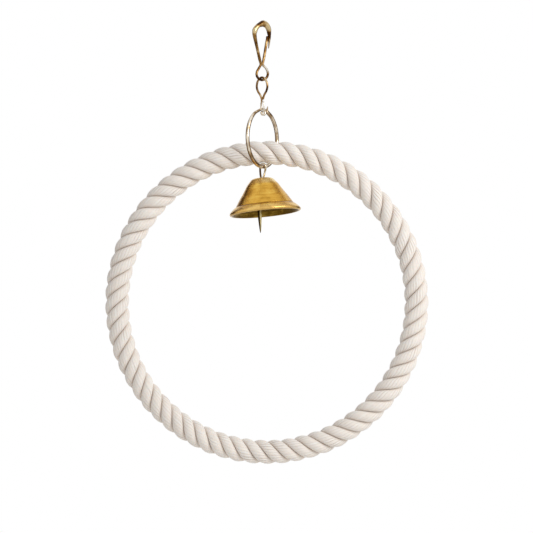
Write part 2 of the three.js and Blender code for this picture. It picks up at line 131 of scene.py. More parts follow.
def feed(tree: bpy.types.NodeTree, node: bpy.types.Node, inputs: dict[str | int, object]) -> None:
    """Feeds a node's inputs with links or with plain values.

    Args:
        tree: The node tree that the node is in.
        node: The node that takes the inputs.
        inputs: A value, an output socket, or a node whose first output is meant, for each named
            or numbered input.
    """
    for key, value in inputs.items():
        source = value.outputs[0] if isinstance(value, bpy.types.Node) else value
        if isinstance(source, bpy.types.NodeSocket):
            tree.links.new(source, node.inputs[key])
        else:
            node.inputs[key].default_value = source


def add_node(
    tree: bpy.types.NodeTree,
    kind: Kind,
    inputs: dict[str | int, object] | None = None,
    stops: Sequence[tuple[float, str]] = (),
    **settings: object,
) -> bpy.types.Node:
    """Adds a node, sets it up and feeds its inputs.

    Args:
        tree: The node tree that the node goes into.
        kind: The node's type.
        inputs: What each named or numbered input takes, as in feed.
        stops: A colour ramp's pairs of position and sRGB hex colour, in order.
        settings: Attributes of the node itself, such as its operation.

    Returns:
        The new node.
    """
    node = tree.nodes.new(kind.value)
    for name, value in settings.items():
        setattr(node, name, value)
    feed(tree, node, inputs or {})
    if stops:
        elements = node.color_ramp.elements
        while len(elements) < len(stops):
            elements.new(0.5)
        for element, (position, hex_colour) in zip(elements, stops):
            element.position = position
            element.color = linear(hex_colour)
    return node


def new_material(name: str) -> tuple[bpy.types.Material, bpy.types.NodeTree, bpy.types.Node]:
    """Starts a material that has one principled shader.

    Args:
        name: The finish's name.

    Returns:
        The material, its node tree and its shader.
    """
    material = bpy.data.materials.new(name)
    material.use_nodes = True
    tree = material.node_tree
    return material, tree, tree.nodes["Principled BSDF"]


# Finishes

# Vectors that each mesh keeps at its points, in millimetres
PLACE = "place_mm"
YARN = "yarn_mm"

# The numbered inputs and the output of a node that mixes two colours
SHARE, UNDER, OVER = 0, 6, 7
MIXED = 2


@dataclass(frozen=True)
class CottonFinish:
    """Undyed carded cotton, spun to soft yarns and laid to rope.

    The eye sees a warm off-white that is never quite even, fine lines along each yarn, a soft
    matt sheen from loose fibre, and grooves that go a little brown: dust with painted shade.
    The seams between yarns and the gaps between fibre lines are painted shade too.
    """

    name: str = "undyed_laid_cotton"
    light: str = "#fbf8f5"
    warm: str = "#f4ede7"
    # The groove colour is dust with painted shade, in the grooves and between fibre lines.
    groove: str = "#c6b3a3"
    # The line colour is painted shade in the seams between yarns.
    line: str = "#ad9685"
    roughness: float = 0.92
    patch_size: float = 22.0
    patch_share: float = 0.6
    yarn_share: float = 0.4
    yarn_width: float = 1.61
    fibre_spacing: float = 0.28
    fibre_stretch: float = 0.35
    fibre_level: float = 0.6
    fibre_shade: float = 0.4
    fibre_height: float = 0.25
    seam_sharpness: float = 2.5
    seam_gain: float = 3.2
    seam_start: float = -1.1
    dirt_spread: float = 0.75
    dirt_least: float = 0.05
    dust_and_shade_sharpness: float = 2.2
    dust_and_shade_weight: float = 0.6

    def material(self) -> bpy.types.Material:
        """Builds the material, with colour, fibre lines and a fine relief along each yarn.

        Returns:
            The material.
        """
        material, tree, shader = new_material(self.name)
        yarn = add_node(tree, Kind.ATTRIBUTE, attribute_name=YARN).outputs["Vector"]
        across, along, depth = add_node(tree, Kind.SEPARATE, {"Vector": yarn}).outputs
        place = add_node(tree, Kind.ATTRIBUTE, attribute_name=PLACE).outputs["Vector"]
        patch = add_node(
            tree,
            Kind.NOISE,
            {"Vector": place, "Scale": 1 / self.patch_size, "Detail": 3.0, "Roughness": 0.6},
        )
        number = add_node(tree, Kind.MATHS, {0: across}, operation="FLOOR")
        tint = add_node(tree, Kind.WHITE_NOISE, {"W": number}, noise_dimensions="1D")
        fibre = self.fibre_lines(tree, across, along)

        patch_tint = add_node(tree, Kind.MATHS, {0: patch, 1: self.patch_share}, operation="MULTIPLY")
        shade = add_node(
            tree, Kind.MATHS, {0: tint, 1: self.yarn_share, 2: patch_tint}, operation="MULTIPLY_ADD"
        )
        body = add_node(tree, Kind.RAMP, {"Fac": shade}, [(0.2, self.warm), (0.72, self.light)])
        # The seams between yarns get painted shade.
        seam = self.seam_share(tree, across, patch, tint)
        lined = add_node(
            tree, Kind.MIX, {SHARE: seam, UNDER: body, OVER: linear(self.line)}, data_type="RGBA"
        ).outputs[MIXED]
        # The grooves darken with depth: dust with painted shade.
        deep = add_node(
            tree, Kind.MATHS, {0: depth, 1: self.dust_and_shade_sharpness}, operation="POWER", use_clamp=True
        )
        dust_and_shade = add_node(tree, Kind.MATHS, {0: deep, 1: self.dust_and_shade_weight}, operation="MULTIPLY")
        dust_and_shade_mixed = add_node(
            tree, Kind.MIX, {SHARE: dust_and_shade, UNDER: lined, OVER: linear(self.groove)}, data_type="RGBA"
        ).outputs[MIXED]
        # Painted shade between the fibre lines, in the groove colour.
        between = add_node(
            tree, Kind.MATHS, {0: self.fibre_level, 1: fibre}, operation="SUBTRACT", use_clamp=True
        )
        shaded = add_node(tree, Kind.MATHS, {0: between, 1: self.fibre_shade}, operation="MULTIPLY")
        colour = add_node(
            tree, Kind.MIX, {SHARE: shaded, UNDER: dust_and_shade_mixed, OVER: linear(self.groove)}, data_type="RGBA"
        ).outputs[MIXED]
        relief = add_node(
            tree, Kind.BUMP, {"Height": fibre, "Strength": 0.55, "Distance": self.fibre_height * MM}
        )
        feed(
            tree,
            shader,
            {
                "Base Color": colour,
                "Normal": relief,
                "Roughness": self.roughness,
                "Sheen Weight": 0.25,
                "Sheen Roughness": 0.55,
                "Specular IOR Level": 0.2,
                "Subsurface Weight": 0.12,
                "Subsurface Radius": (1.0, 0.8, 0.6),
                "Subsurface Scale": 1.2 * MM,
            },
        )
        return material

    def fibre_lines(
        self, tree: bpy.types.NodeTree, across: bpy.types.NodeSocket, along: bpy.types.NodeSocket
    ) -> bpy.types.Node:
        """Draws the fibres as fine uneven lines along each yarn.

        Args:
            tree: The material's node tree.
            across: The place across the yarns, one to a yarn.
            along: The place along them, in millimetres.

        Returns:
            The node that gives the lines.
        """
        # Real fibres are 0.02 mm thick: they are drawn at 0.28 mm so that they show at all.
        spacing = self.yarn_width / self.fibre_spacing
        number = add_node(tree, Kind.MATHS, {0: across, 1: spacing}, operation="MULTIPLY")
        place = add_node(tree, Kind.COMBINE, {0: number, 1: along})
        scale = (1.0, self.fibre_stretch, 1.0)
        drawn_out = add_node(tree, Kind.MAPPING, {"Vector": place, "Scale": scale})
        return add_node(tree, Kind.NOISE, {"Vector": drawn_out, "Scale": 1.0, "Detail": 2.0})

    def seam_share(
        self,
        tree: bpy.types.NodeTree,
        across: bpy.types.NodeSocket,
        patch: bpy.types.Node,
        tint: bpy.types.Node,
    ) -> bpy.types.Node:
        """Gives the share of painted shade in the seam between two yarns: it shows where the seams
        open, in some places only, and more on yarns with more dirt.

        Args:
            tree: The material's node tree.
            across: The place across the yarns, one to a yarn.
            patch: The slow pattern of where the seams open.
            tint: The yarn's own chance value.

        Returns:
            The node that gives the share.
        """
        in_yarn = add_node(tree, Kind.MATHS, {0: across}, operation="FRACT")
        off_middle = add_node(tree, Kind.MATHS, {0: in_yarn, 1: 0.5}, operation="SUBTRACT")
        doubled = add_node(tree, Kind.MATHS, {0: off_middle, 1: 2.0}, operation="MULTIPLY")
        to_edge = add_node(tree, Kind.MATHS, {0: doubled}, operation="ABSOLUTE")
        seam = add_node(tree, Kind.MATHS, {0: to_edge, 1: self.seam_sharpness}, operation="POWER")
        opened = add_node(
            tree,
            Kind.MATHS,
            {0: patch, 1: self.seam_gain, 2: self.seam_start},
            operation="MULTIPLY_ADD",
            use_clamp=True,
        )
        dirt = add_node(
            tree,
            Kind.MATHS,
            {0: tint, 1: self.dirt_spread, 2: self.dirt_least},
            operation="MULTIPLY_ADD",
        )
        strength = add_node(tree, Kind.MATHS, {0: opened, 1: dirt}, operation="MULTIPLY")
        return add_node(tree, Kind.MATHS, {0: seam, 1: strength}, operation="MULTIPLY")


@dataclass(frozen=True)
class LooseFibreFinish:
    """Cotton fibres that stand loose of the rope: pale, thin and lit through."""

    name: str = "loose_cotton_fibre"
    colour: str = "#f3efe6"
    tip: str = "#fbf9f4"

    def material(self) -> bpy.types.Material:
        """Builds the material: a fibre pales a little towards its tip.

        Returns:
            The material.
        """
        material, tree, shader = new_material(self.name)
        yarn = add_node(tree, Kind.ATTRIBUTE, attribute_name=YARN).outputs["Vector"]
        along = add_node(tree, Kind.SEPARATE, {"Vector": yarn}).outputs[1]
        colour = add_node(tree, Kind.RAMP, {"Fac": along}, [(0.0, self.colour), (1.0, self.tip)])
        feed(tree, shader, {"Base Color": colour, "Roughness": 0.8, "Specular IOR Level": 0.2})
        return material


@dataclass(frozen=True)
class SpunBrassFinish:
    """Sheet brass spun over a form, lacquered thin and aged.

    The eye sees a satin gold with fine lines round the axis from the spinning tool, browner
    patches where the lacquer has worn, and dark tarnish in the step above the rim. A paler
    colour on the right of the crown and on the rim is a painted highlight.
    """

    name: str = "spun_aged_brass"
    bright: str = "#e6c05e"
    body: str = "#d6a545"
    worn: str = "#a97b28"
    tarnish: str = "#5e3a0e"
    # The colour of the painted highlight on the crown's right side and on the rim
    painted_highlight_and_bare: str = "#f9e6ae"
    painted_highlight_strength: float = 0.9
    line_spacing: float = 0.35
    line_height: float = 0.06
    patch_height: float = 0.5
    step_height: float = -25.4
    crown_depth: float = 6.4
    rim_height: float = -26.8

    def material(self) -> bpy.types.Material:
        """Builds the material, with spinning lines, worn patches and tarnish by height.

        Returns:
            The material.
        """
        material, tree, shader = new_material(self.name)
        place = add_node(tree, Kind.ATTRIBUTE, attribute_name=PLACE).outputs["Vector"]
        right, _, height = add_node(tree, Kind.SEPARATE, {"Vector": place}).outputs
        line_scale = (0.02, 0.02, 1 / self.line_spacing)
        line_place = add_node(tree, Kind.MAPPING, {"Vector": place, "Scale": line_scale})
        lines = add_node(
            tree, Kind.NOISE, {"Vector": line_place, "Scale": 1.0, "Detail": 3.0, "Roughness": 0.7}
        )
        streak_place = add_node(tree, Kind.MAPPING, {"Vector": place, "Scale": (0.05, 0.05, 0.5)})
        streaks = add_node(tree, Kind.NOISE, {"Vector": streak_place, "Scale": 1.0, "Detail": 4.0})
        patch_place = add_node(tree, Kind.MAPPING, {"Vector": place, "Scale": (0.11, 0.11, 0.16)})
        patches = add_node(
            tree,
            Kind.NOISE,
            {"Vector": patch_place, "Scale": 1.0, "Detail": 5.0, "Roughness": 0.65, "Distortion": 0.4},
        )

        streak_wear = add_node(tree, Kind.MATHS, {0: streaks, 1: 0.45}, operation="MULTIPLY")
        wear = add_node(
            tree, Kind.MATHS, {0: patches, 1: 0.65, 2: streak_wear}, operation="MULTIPLY_ADD"
        )
        age = self.tarnish_age(tree, height, wear)
        colour = add_node(
            tree,
            Kind.RAMP,
            {"Fac": age},
            [(0.36, self.bright), (0.55, self.body), (0.78, self.worn), (0.97, self.tarnish)],
        )
        # Painted highlight: the crown's right side and the rim take a paler colour
        pale_metal = self.painted_highlight_share(tree, right, height, wear)
        skin = add_node(
            tree, Kind.MIX, {SHARE: pale_metal, UNDER: colour, OVER: linear(self.painted_highlight_and_bare)}, data_type="RGBA"
        ).outputs[MIXED]
        patch_haze = add_node(tree, Kind.MATHS, {0: patches, 1: 0.7}, operation="MULTIPLY")
        haze = add_node(
            tree, Kind.MATHS, {0: lines, 1: 0.3, 2: patch_haze}, operation="MULTIPLY_ADD"
        )
        rough = add_node(
            tree,
            Kind.RANGE,
            {"Value": haze, "From Min": 0.3, "From Max": 0.75, "To Min": 0.2, "To Max": 0.36},
        )
        fine = add_node(
            tree, Kind.BUMP, {"Height": lines, "Strength": 0.35, "Distance": self.line_height * MM}
        )
        relief = add_node(
            tree,
            Kind.BUMP,
            {"Height": patches, "Strength": 0.25, "Distance": self.patch_height * MM, "Normal": fine},
        )
        feed(
            tree,
            shader,
            {"Base Color": skin, "Roughness": rough, "Normal": relief, "Metallic": 1.0},
        )
        return material

    def tarnish_age(
        self, tree: bpy.types.NodeTree, height: bpy.types.NodeSocket, wear: bpy.types.Node
    ) -> bpy.types.Node:
        """Gives how aged the brass is: most in the step above the rim, where dirt stays.

        Args:
            tree: The material's node tree.
            height: The height on the bell, in millimetres.
            wear: The general wear.

        Returns:
            The node that gives the age.
        """
        above = add_node(tree, Kind.MATHS, {0: height, 1: self.step_height}, operation="SUBTRACT")
        away = add_node(tree, Kind.MATHS, {0: above}, operation="ABSOLUTE")
        faded = add_node(tree, Kind.MATHS, {0: away, 1: 0.9}, operation="MULTIPLY")
        in_step = add_node(
            tree, Kind.MATHS, {0: 1.0, 1: faded}, operation="SUBTRACT", use_clamp=True
        )
        return add_node(
            tree, Kind.MATHS, {0: in_step, 1: 0.3, 2: wear}, operation="MULTIPLY_ADD", use_clamp=True
        )

    def painted_highlight_share(
        self,
        tree: bpy.types.NodeTree,
        right: bpy.types.NodeSocket,
        height: bpy.types.NodeSocket,
        wear: bpy.types.Node,
    ) -> bpy.types.Node:
        """Gives the share of the painted highlight: on the crown's right side, where the light falls,
        and on the rim.

        Args:
            tree: The material's node tree.
            right: The place towards the right, in millimetres.
            height: The height on the bell, in millimetres.
            wear: The general wear.

        Returns:
            The node that gives the share.
        """
        below_top = add_node(tree, Kind.MATHS, {0: height, 1: self.crown_depth}, operation="ADD")
        on_crown = add_node(
            tree, Kind.MATHS, {0: below_top, 1: 0.4}, operation="MULTIPLY", use_clamp=True
        )
        # The painted highlight grows towards the right, the side the lamp is on
        lit_side = add_node(
            tree, Kind.MATHS, {0: right, 1: 0.06, 2: 0.7}, operation="MULTIPLY_ADD", use_clamp=True
        )
        crown = add_node(tree, Kind.MATHS, {0: on_crown, 1: lit_side}, operation="MULTIPLY")
        rim = add_node(
            tree, Kind.MATHS, {0: self.rim_height, 1: height}, operation="SUBTRACT", use_clamp=True
        )
        highlight_places = add_node(
            tree, Kind.MATHS, {0: rim, 1: 0.35, 2: crown}, operation="MULTIPLY_ADD", use_clamp=True
        )
        unworn = add_node(
            tree, Kind.MATHS, {0: 1.25, 1: wear}, operation="SUBTRACT", use_clamp=True
        )
        highlight_where_unworn = add_node(tree, Kind.MATHS, {0: highlight_places, 1: unworn}, operation="MULTIPLY")
        return add_node(tree, Kind.MATHS, {0: highlight_where_unworn, 1: self.painted_highlight_strength}, operation="MULTIPLY")


@dataclass(frozen=True)
class Mark:
    """A stretch of a wire whose colour is changed, soft at both ends. Most marks are use; some
    are painted shade and painted highlights.

    Attributes:
        along: The middle of the stretch, in millimetres from the wire's start.
        reach: How far it goes to each side, in millimetres.
        change: How much duller it is, less than nothing for brighter.
        level: Its strength on the wire's middle, below nothing where it keeps to one side.
        across: How much stronger it is for each millimetre towards the bend's outside.
        depth: How much stronger it is for each millimetre square to that.
    """

    along: float
    reach: float
    change: float
    level: float = 1.0
    across: float = 0.0
    depth: float = 0.0

    def strength(
        self, tree: bpy.types.NodeTree, place: Sequence[bpy.types.NodeSocket]
    ) -> bpy.types.Node:
        """Gives the mark's strength at a place on the wire.

        Args:
            tree: The material's node tree.
            place: The place along, across and square to the wire.

        Returns:
            The node that gives the change, whole in the middle of the mark and nought away from it.
        """
        along, across, depth = place
        offset = add_node(tree, Kind.MATHS, {0: along, 1: self.along}, operation="SUBTRACT")
        away = add_node(tree, Kind.MATHS, {0: offset}, operation="ABSOLUTE")
        # The mark is whole over half its reach and gone at one and a half times its reach.
        fade = add_node(
            tree,
            Kind.MATHS,
            {0: away, 1: -1 / self.reach, 2: 1.5},
            operation="MULTIPLY_ADD",
            use_clamp=True,
        )
        side = add_node(
            tree, Kind.MATHS, {0: depth, 1: self.depth, 2: self.level}, operation="MULTIPLY_ADD"
        )
        facing = add_node(
            tree,
            Kind.MATHS,
            {0: across, 1: self.across, 2: side},
            operation="MULTIPLY_ADD",
            use_clamp=True,
        )
        shape = add_node(tree, Kind.MATHS, {0: fade, 1: facing}, operation="MULTIPLY")
        return add_node(tree, Kind.MATHS, {0: shape, 1: self.change}, operation="MULTIPLY")


@dataclass(frozen=True)
class PlatedWireFinish:
    """Drawn steel wire with a thin plating, bent cold and worn by handling.

    The eye sees a bright skin with soft lines along the wire, brown patches where the plating
    has gone dull, and marks at the bends: dark where dirt sits, pale where it rubs. Some marks
    are painted shade down one side of a wire, and one is a painted highlight.
    """

    name: str
    bright: str
    body: str
    dull: str
    roughness: float = 0.2
    dullness: float = 0.5
    patch_size: float = 9.0
    relief: float = 0.02
    # The pale colour: worn metal on the link's lower eye, a painted highlight on the hook's eye.
    pale_metal: str = "#e9e4da"
    marks: tuple[Mark, ...] = ()
    painted_highlight_and_bare: tuple[Mark, ...] = ()

    def material(self) -> bpy.types.Material:
        """Builds the material: bright plating, dull patches, marks, and pale marks: worn metal on the
        link, a painted highlight on the hook.

        Returns:
            The material.
        """
        material, tree, shader = new_material(self.name)
        place = add_node(tree, Kind.ATTRIBUTE, attribute_name=PLACE).outputs["Vector"]
        parts = add_node(tree, Kind.SEPARATE, {"Vector": place}).outputs
        patches = add_node(
            tree,
            Kind.NOISE,
            {"Vector": place, "Scale": 1 / self.patch_size, "Detail": 4.0, "Roughness": 0.6},
        )
        line_place = add_node(tree, Kind.MAPPING, {"Vector": place, "Scale": (0.03, 0.9, 0.9)})
        lines = add_node(tree, Kind.NOISE, {"Vector": line_place, "Scale": 1.0, "Detail": 1.0})
        line_wear = add_node(tree, Kind.MATHS, {0: lines, 1: 0.25}, operation="MULTIPLY")
        wear = add_node(
            tree, Kind.MATHS, {0: patches, 1: 0.75, 2: line_wear}, operation="MULTIPLY_ADD"
        )
        # Some marks are painted shade and light: the dark edges of the ring wire, the dark face of the
        # clapper, and the hanger's dark left and bright right leg.
        for mark in self.marks:
            change = mark.strength(tree, parts)
            wear = add_node(tree, Kind.MATHS, {0: wear, 1: change}, operation="ADD")
        start = 0.62 - 0.35 * self.dullness
        stops = [(start, self.bright), (start + 0.1, self.body), (start + 0.24, self.dull)]
        skin = add_node(tree, Kind.RAMP, {"Fac": wear}, stops).outputs["Color"]
        # These marks mix in the pale colour: a painted highlight on the hook, worn metal on the link.
        for mark in self.painted_highlight_and_bare:
            pale_metal = mark.strength(tree, parts)
            skin = add_node(
                tree, Kind.MIX, {SHARE: pale_metal, UNDER: skin, OVER: linear(self.pale_metal)}, data_type="RGBA"
            ).outputs[MIXED]
        rough = add_node(
            tree,
            Kind.RANGE,
            {
                "Value": wear,
                "From Min": 0.3,
                "From Max": 0.7,
                "To Min": 0.75 * self.roughness,
                "To Max": 1.7 * self.roughness,
            },
        )
        relief = add_node(
            tree, Kind.BUMP, {"Height": patches, "Strength": 0.3, "Distance": self.relief * MM}
        )
        feed(
            tree,
            shader,
            {"Base Color": skin, "Roughness": rough, "Normal": relief, "Metallic": 1.0},
        )
        return material


@dataclass(frozen=True)
class StudioPaperFinish:
    """Pale seamless paper: flat to the eye, with a barely visible grain."""

    name: str = "seamless_paper"
    colour: str = "#f4f3f1"
    fleck: str = "#eceae7"
    grain: float = 6.0

    def material(self) -> bpy.types.Material:
        """Builds the paper, which stays matt and takes the object's shadow.

        Returns:
            The material.
        """
        material, tree, shader = new_material(self.name)
        place = add_node(tree, Kind.COORDINATES).outputs["Object"]
        scale = 1 / (self.grain * MM)
        grain = add_node(tree, Kind.NOISE, {"Vector": place, "Scale": scale, "Detail": 2.0})
        colour = add_node(tree, Kind.RAMP, {"Fac": grain}, [(0.3, self.fleck), (0.7, self.colour)])
        feed(tree, shader, {"Base Color": colour, "Roughness": 0.9, "Specular IOR Level": 0.1})
        return material


@dataclass(frozen=True)
class DarkCardFinish:
    """Dark felt on a studio card: it shows only as the dark side of polished metal."""

    name: str = "dark_felt_card"
    colour: str = "#3a220b"
    nap: str = "#4a2e12"
    nap_size: float = 25.0

    def material(self) -> bpy.types.Material:
        """Builds the felt, with a faint nap.

        Returns:
            The material.
        """
        material, tree, shader = new_material(self.name)
        place = add_node(tree, Kind.COORDINATES).outputs["Object"]
        nap = add_node(tree, Kind.NOISE, {"Vector": place, "Scale": 1 / (self.nap_size * MM)})
        colour = add_node(tree, Kind.RAMP, {"Fac": nap}, [(0.3, self.colour), (0.7, self.nap)])
        feed(tree, shader, {"Base Color": colour, "Roughness": 1.0, "Specular IOR Level": 0.0})
        return material


BELL_FINISH = SpunBrassFinish()
# The inside of the shell takes a darker copy of the brass: painted shade in the bell's hollow.
BELL_SHADED_INSIDE_FINISH = SpunBrassFinish(
    name="brass_inside_painted_shade",
    bright="#a88a3a",
    body="#634a15",
    worn="#42300d",
    tarnish="#2c1d08",
    painted_highlight_strength=0.0,
)
HOOK_FINISH = PlatedWireFinish(
    "worn_brass_plated_hook",
    bright="#cbb68b",
    body="#94703f",
    dull="#47290a",
    dullness=0.6,
    marks=(
        Mark(12.0, 2.8, 0.28),
        Mark(21.0, 4.5, -0.07),
        Mark(30.5, 3.0, 0.3, level=-0.3, across=0.7),
        Mark(38.0, 4.0, -0.06),
        Mark(58.0, 12.0, 0.06),
        Mark(87.0, 4.0, 0.2),
        Mark(98.0, 2.4, 0.16),
    ),
    # A painted highlight down the right side of the hook's eye.
    painted_highlight_and_bare=(Mark(107.0, 3.6, 0.85),),
)
GATE_FINISH = PlatedWireFinish(
    "worn_brass_plated_gate",
    bright="#b99c6c",
    body="#8d6738",
    dull="#47290a",
    dullness=0.6,
    marks=(Mark(26.0, 4.0, 0.2),),
)
LINK_FINISH = PlatedWireFinish(
    "worn_brass_plated_link",
    bright="#cdb68f",
    body="#a07847",
    dull="#4a2e10",
    dullness=0.6,
    marks=(Mark(39.0, 3.5, 0.16), Mark(50.0, 3.0, 0.14), Mark(66.0, 3.0, 0.16)),
    painted_highlight_and_bare=(Mark(8.0, 11.0, 1.0),),
)
RING_FINISH = PlatedWireFinish(
    "tarnished_nickel_ring",
    bright="#e9dfce",
    body="#b39a78",
    dull="#6b4e2a",
    roughness=0.1,
    dullness=0.4,
    marks=(
        # The next four marks are painted shade: they darken both edges of the ring wire.
        Mark(57.0, 30.0, 0.34, level=-1.0, across=0.72, depth=1.2),
        Mark(57.0, 30.0, 0.34, level=-1.0, across=-0.72, depth=-1.2),
        Mark(140.0, 30.0, 0.34, level=-1.0, across=-0.72, depth=1.2),
        Mark(140.0, 30.0, 0.2, level=-1.3, across=0.72, depth=-1.2),
        Mark(27.0, 7.0, 0.1),
        Mark(84.0, 9.0, 0.08),
        Mark(172.0, 5.0, 0.16),
    ),
)
HANGER_FINISH = PlatedWireFinish(
    "tarnished_nickel_hanger",
    bright="#efe6d3",
    body="#b39764",
    dull="#4f330f",
    roughness=0.16,
    dullness=0.4,
    # Painted shade on the hanger's left leg and painted light on its right leg, the side the lamp is on.
    marks=(Mark(15.0, 5.0, 0.3), Mark(41.0, 5.0, -0.1)),
)
CLAPPER_FINISH = PlatedWireFinish(
    "dull_brass_clapper",
    bright="#e0d09c",
    body="#a8945a",
    dull="#3a2a0c",
    roughness=0.24,
    dullness=0.4,
    # Painted shade: one face of the clapper is darker all along, the face turned from the lamp.
    marks=(Mark(30.0, 40.0, 0.36, depth=3.0),),
)
CORE_FINISH = PlatedWireFinish(
    "drawn_steel_core", bright="#a5a8ab", body="#8d9094", dull="#6b6d70", roughness=0.35
)


# Meshes


def grid_mesh(
    name: str,
    rings: np.ndarray,
    place: np.ndarray,
    closed: bool = False,
    extra: dict[str, np.ndarray] | None = None,
) -> bpy.types.Object:
    """Joins rings of points to one closed smooth body whose faces look outward.

    Args:
        name: The piece's name.
        rings: The points in millimetres, as rings by points by three.
        place: The place that the finish reads at each point, in millimetres.
        closed: Whether the last ring joins the first; otherwise both ends are capped.
        extra: More vectors to store at each point, by name.

    Returns:
        The new object, which is in the scene.
    """
    count, sides = rings.shape[:2]
    spans = count if closed else count - 1
    near = (np.arange(spans) * sides)[:, None]
    far = ((np.arange(spans) + 1) % count * sides)[:, None]
    k = np.arange(sides)[None, :]
    following = (k + 1) % sides
    quads = np.stack([near + k, near + following, far + following, far + k], axis=-1).reshape(-1, 4)
    faces = quads.tolist()
    if not closed:
        last = (count - 1) * sides
        faces.append(list(range(sides - 1, -1, -1)))
        faces.append([last + i for i in range(sides)])
    points = rings.reshape(-1, 3)
    first, second, third = (points[quads[:, i]] for i in (0, 1, 2))
    if float(np.einsum("ij,ij->i", first, np.cross(second, third)).sum()) < 0:
        faces = [face[::-1] for face in faces]
    mesh = bpy.data.meshes.new(name)
    mesh.from_pydata((points * MM).tolist(), [], faces)
    for attribute, values in {PLACE: place, **(extra or {})}.items():
        stored = mesh.attributes.new(attribute, "FLOAT_VECTOR", "POINT")
        stored.data.foreach_set("vector", values.reshape(-1).astype(np.float32))
    mesh.polygons.foreach_set("use_smooth", [True] * len(mesh.polygons))
    mesh.update()
    piece = bpy.data.objects.new(name, mesh)
    bpy.context.scene.collection.objects.link(piece)
    return piece


def place_piece(
    piece: bpy.types.Object, material: bpy.types.Material, body: Body, nodes: Iterable[str]
) -> None:
    """Dresses a piece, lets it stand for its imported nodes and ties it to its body.

    Args:
        piece: The finished piece.
        material: Its material.
        body: The body that it moves with.
        nodes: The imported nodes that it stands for.
    """
    piece.data.materials.append(material)
    names = list(nodes)
    if names:
        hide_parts(*names)
    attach(piece, body.value)
    log.info("%s: %d faces, %s, on %s", piece.name, len(piece.data.polygons), material.name, body.value)


@dataclass(frozen=True)
class Knot:
    """A point that a wire passes, with its half thickness in the bend's plane and square to it."""

    at: np.ndarray
    across: float
    depth: float
    normal: np.ndarray


def catmull_rom(points: np.ndarray, steps: int, closed: bool) -> np.ndarray:
    """Samples a uniform Catmull-Rom curve through points.

    Args:
        points: One row of values for each knot.
        steps: How many samples each span takes.
        closed: Whether the curve joins its own start.

    Returns:
        The sampled rows, with the last knot only if the curve is open.
    """
    if closed:
        padded = np.vstack([points[-1], points, points[0], points[1]])
        spans = len(points)
    else:
        padded = np.vstack([2 * points[0] - points[1], points, 2 * points[-1] - points[-2]])
        spans = len(points) - 1
    rows = []
    for i in range(spans):
        p0, p1, p2, p3 = padded[i : i + 4]
        for t in np.arange(steps) / steps:
            rows.append(
                0.5
                * (
                    2 * p1
                    + (p2 - p0) * t
                    + (2 * p0 - 5 * p1 + 4 * p2 - p3) * t**2
                    + (3 * p1 - p0 - 3 * p2 + p3) * t**3
                )
            )
    if not closed:
        rows.append(points[-1])
    return np.array(rows)


# Where a dome's sections stand, as shares of its height
DOME_SHARES = (0.25, 0.5, 0.72, 0.88, 0.97)


def unit(vectors: np.ndarray) -> np.ndarray:
    """Gives vectors a length of one along the last axis."""
    return vectors / np.linalg.norm(vectors, axis=-1, keepdims=True)


def wire(
    name: str,
    knots: Sequence[Knot],
    closed: bool = False,
    steps: int = 7,
    sides: int = 22,
    section: Section = Section.ROUND,
) -> bpy.types.Object:
    """Sweeps a wire through its knots and rounds its free ends.

    Args:
        name: The piece's name.
        knots: The points that the wire passes.
        closed: Whether the wire joins itself.
        steps: How many sections each span takes.
        sides: How many points a section has.
        section: The outline of a section.

    Returns:
        The new object.
    """
    table = np.array([[*k.at, k.across, k.depth, *k.normal] for k in knots])
    rows = catmull_rom(table, steps, closed)
    centre = rows[:, :3]
    if closed:
        tangent = unit(np.roll(centre, -1, axis=0) - np.roll(centre, 1, axis=0))
    else:
        tangent = unit(np.gradient(centre, axis=0))
        head = round_end(rows[0], -tangent[0])[::-1]
        tail = round_end(rows[-1], tangent[-1])
        tangent = np.vstack([np.repeat(tangent[:1], len(head), 0), tangent,
                             np.repeat(tangent[-1:], len(tail), 0)])
        rows = np.vstack([head, rows, tail])
        centre = rows[:, :3]
    outward = unit(np.cross(rows[:, 5:8], tangent))
    square = unit(np.cross(tangent, outward))
    angle = np.arange(sides) * 2 * math.pi / sides
    power = 2 / section.value
    flat = np.sign(np.cos(angle)) * np.abs(np.cos(angle)) ** power
    rise = np.sign(np.sin(angle)) * np.abs(np.sin(angle)) ** power
    across = rows[:, 3][:, None, None] * flat[None, :, None]
    depth = rows[:, 4][:, None, None] * rise[None, :, None]
    rings = centre[:, None, :] + outward[:, None, :] * across + square[:, None, :] * depth
    along = np.concatenate([[0], np.cumsum(np.linalg.norm(np.diff(centre, axis=0), axis=1))])
    place = np.stack(
        np.broadcast_arrays(along[:, None], across[..., 0], depth[..., 0]), axis=-1
    )
    return grid_mesh(name, rings, place, closed)


def round_end(row: np.ndarray, direction: np.ndarray) -> np.ndarray:
    """Gives the sections that close a wire's free end with a dome.

    Args:
        row: The wire's last row of centre, half thicknesses and normal.
        direction: The way that the wire leaves.

    Returns:
        The rows of the dome, from the wire outwards.
    """
    reach = min(row[3], row[4])
    rows = []
    for share in DOME_SHARES:
        extra = row.copy()
        extra[:3] += direction * share * reach
        extra[3:5] *= math.sqrt(1 - share * share)
        rows.append(extra)
    return np.array(rows)


def in_plane(yaw: float, u: float, z: float) -> np.ndarray:
    """Gives a point of an upright plane turned about Z: u along the plane, z up."""
    return np.array([u * math.cos(yaw), u * math.sin(yaw), z])


def plane_normal(yaw: float) -> np.ndarray:
    """Gives the normal of an upright plane turned about Z."""
    return np.array([-math.sin(yaw), math.cos(yaw), 0.0])


def knot_in(yaw: float, u: float, z: float, across: float, depth: float | None = None) -> Knot:
    """Gives a knot of a wire that is bent in an upright plane.

    Args:
        yaw: The plane's turn about Z.
        u: The place along the plane.
        z: The height.
        across: Half the thickness in the plane.
        depth: Half the thickness square to it, the same if left out.

    Returns:
        The knot.
    """
    return Knot(in_plane(yaw, u, z), across, across if depth is None else depth, plane_normal(yaw))


# Pieces, from the bar down


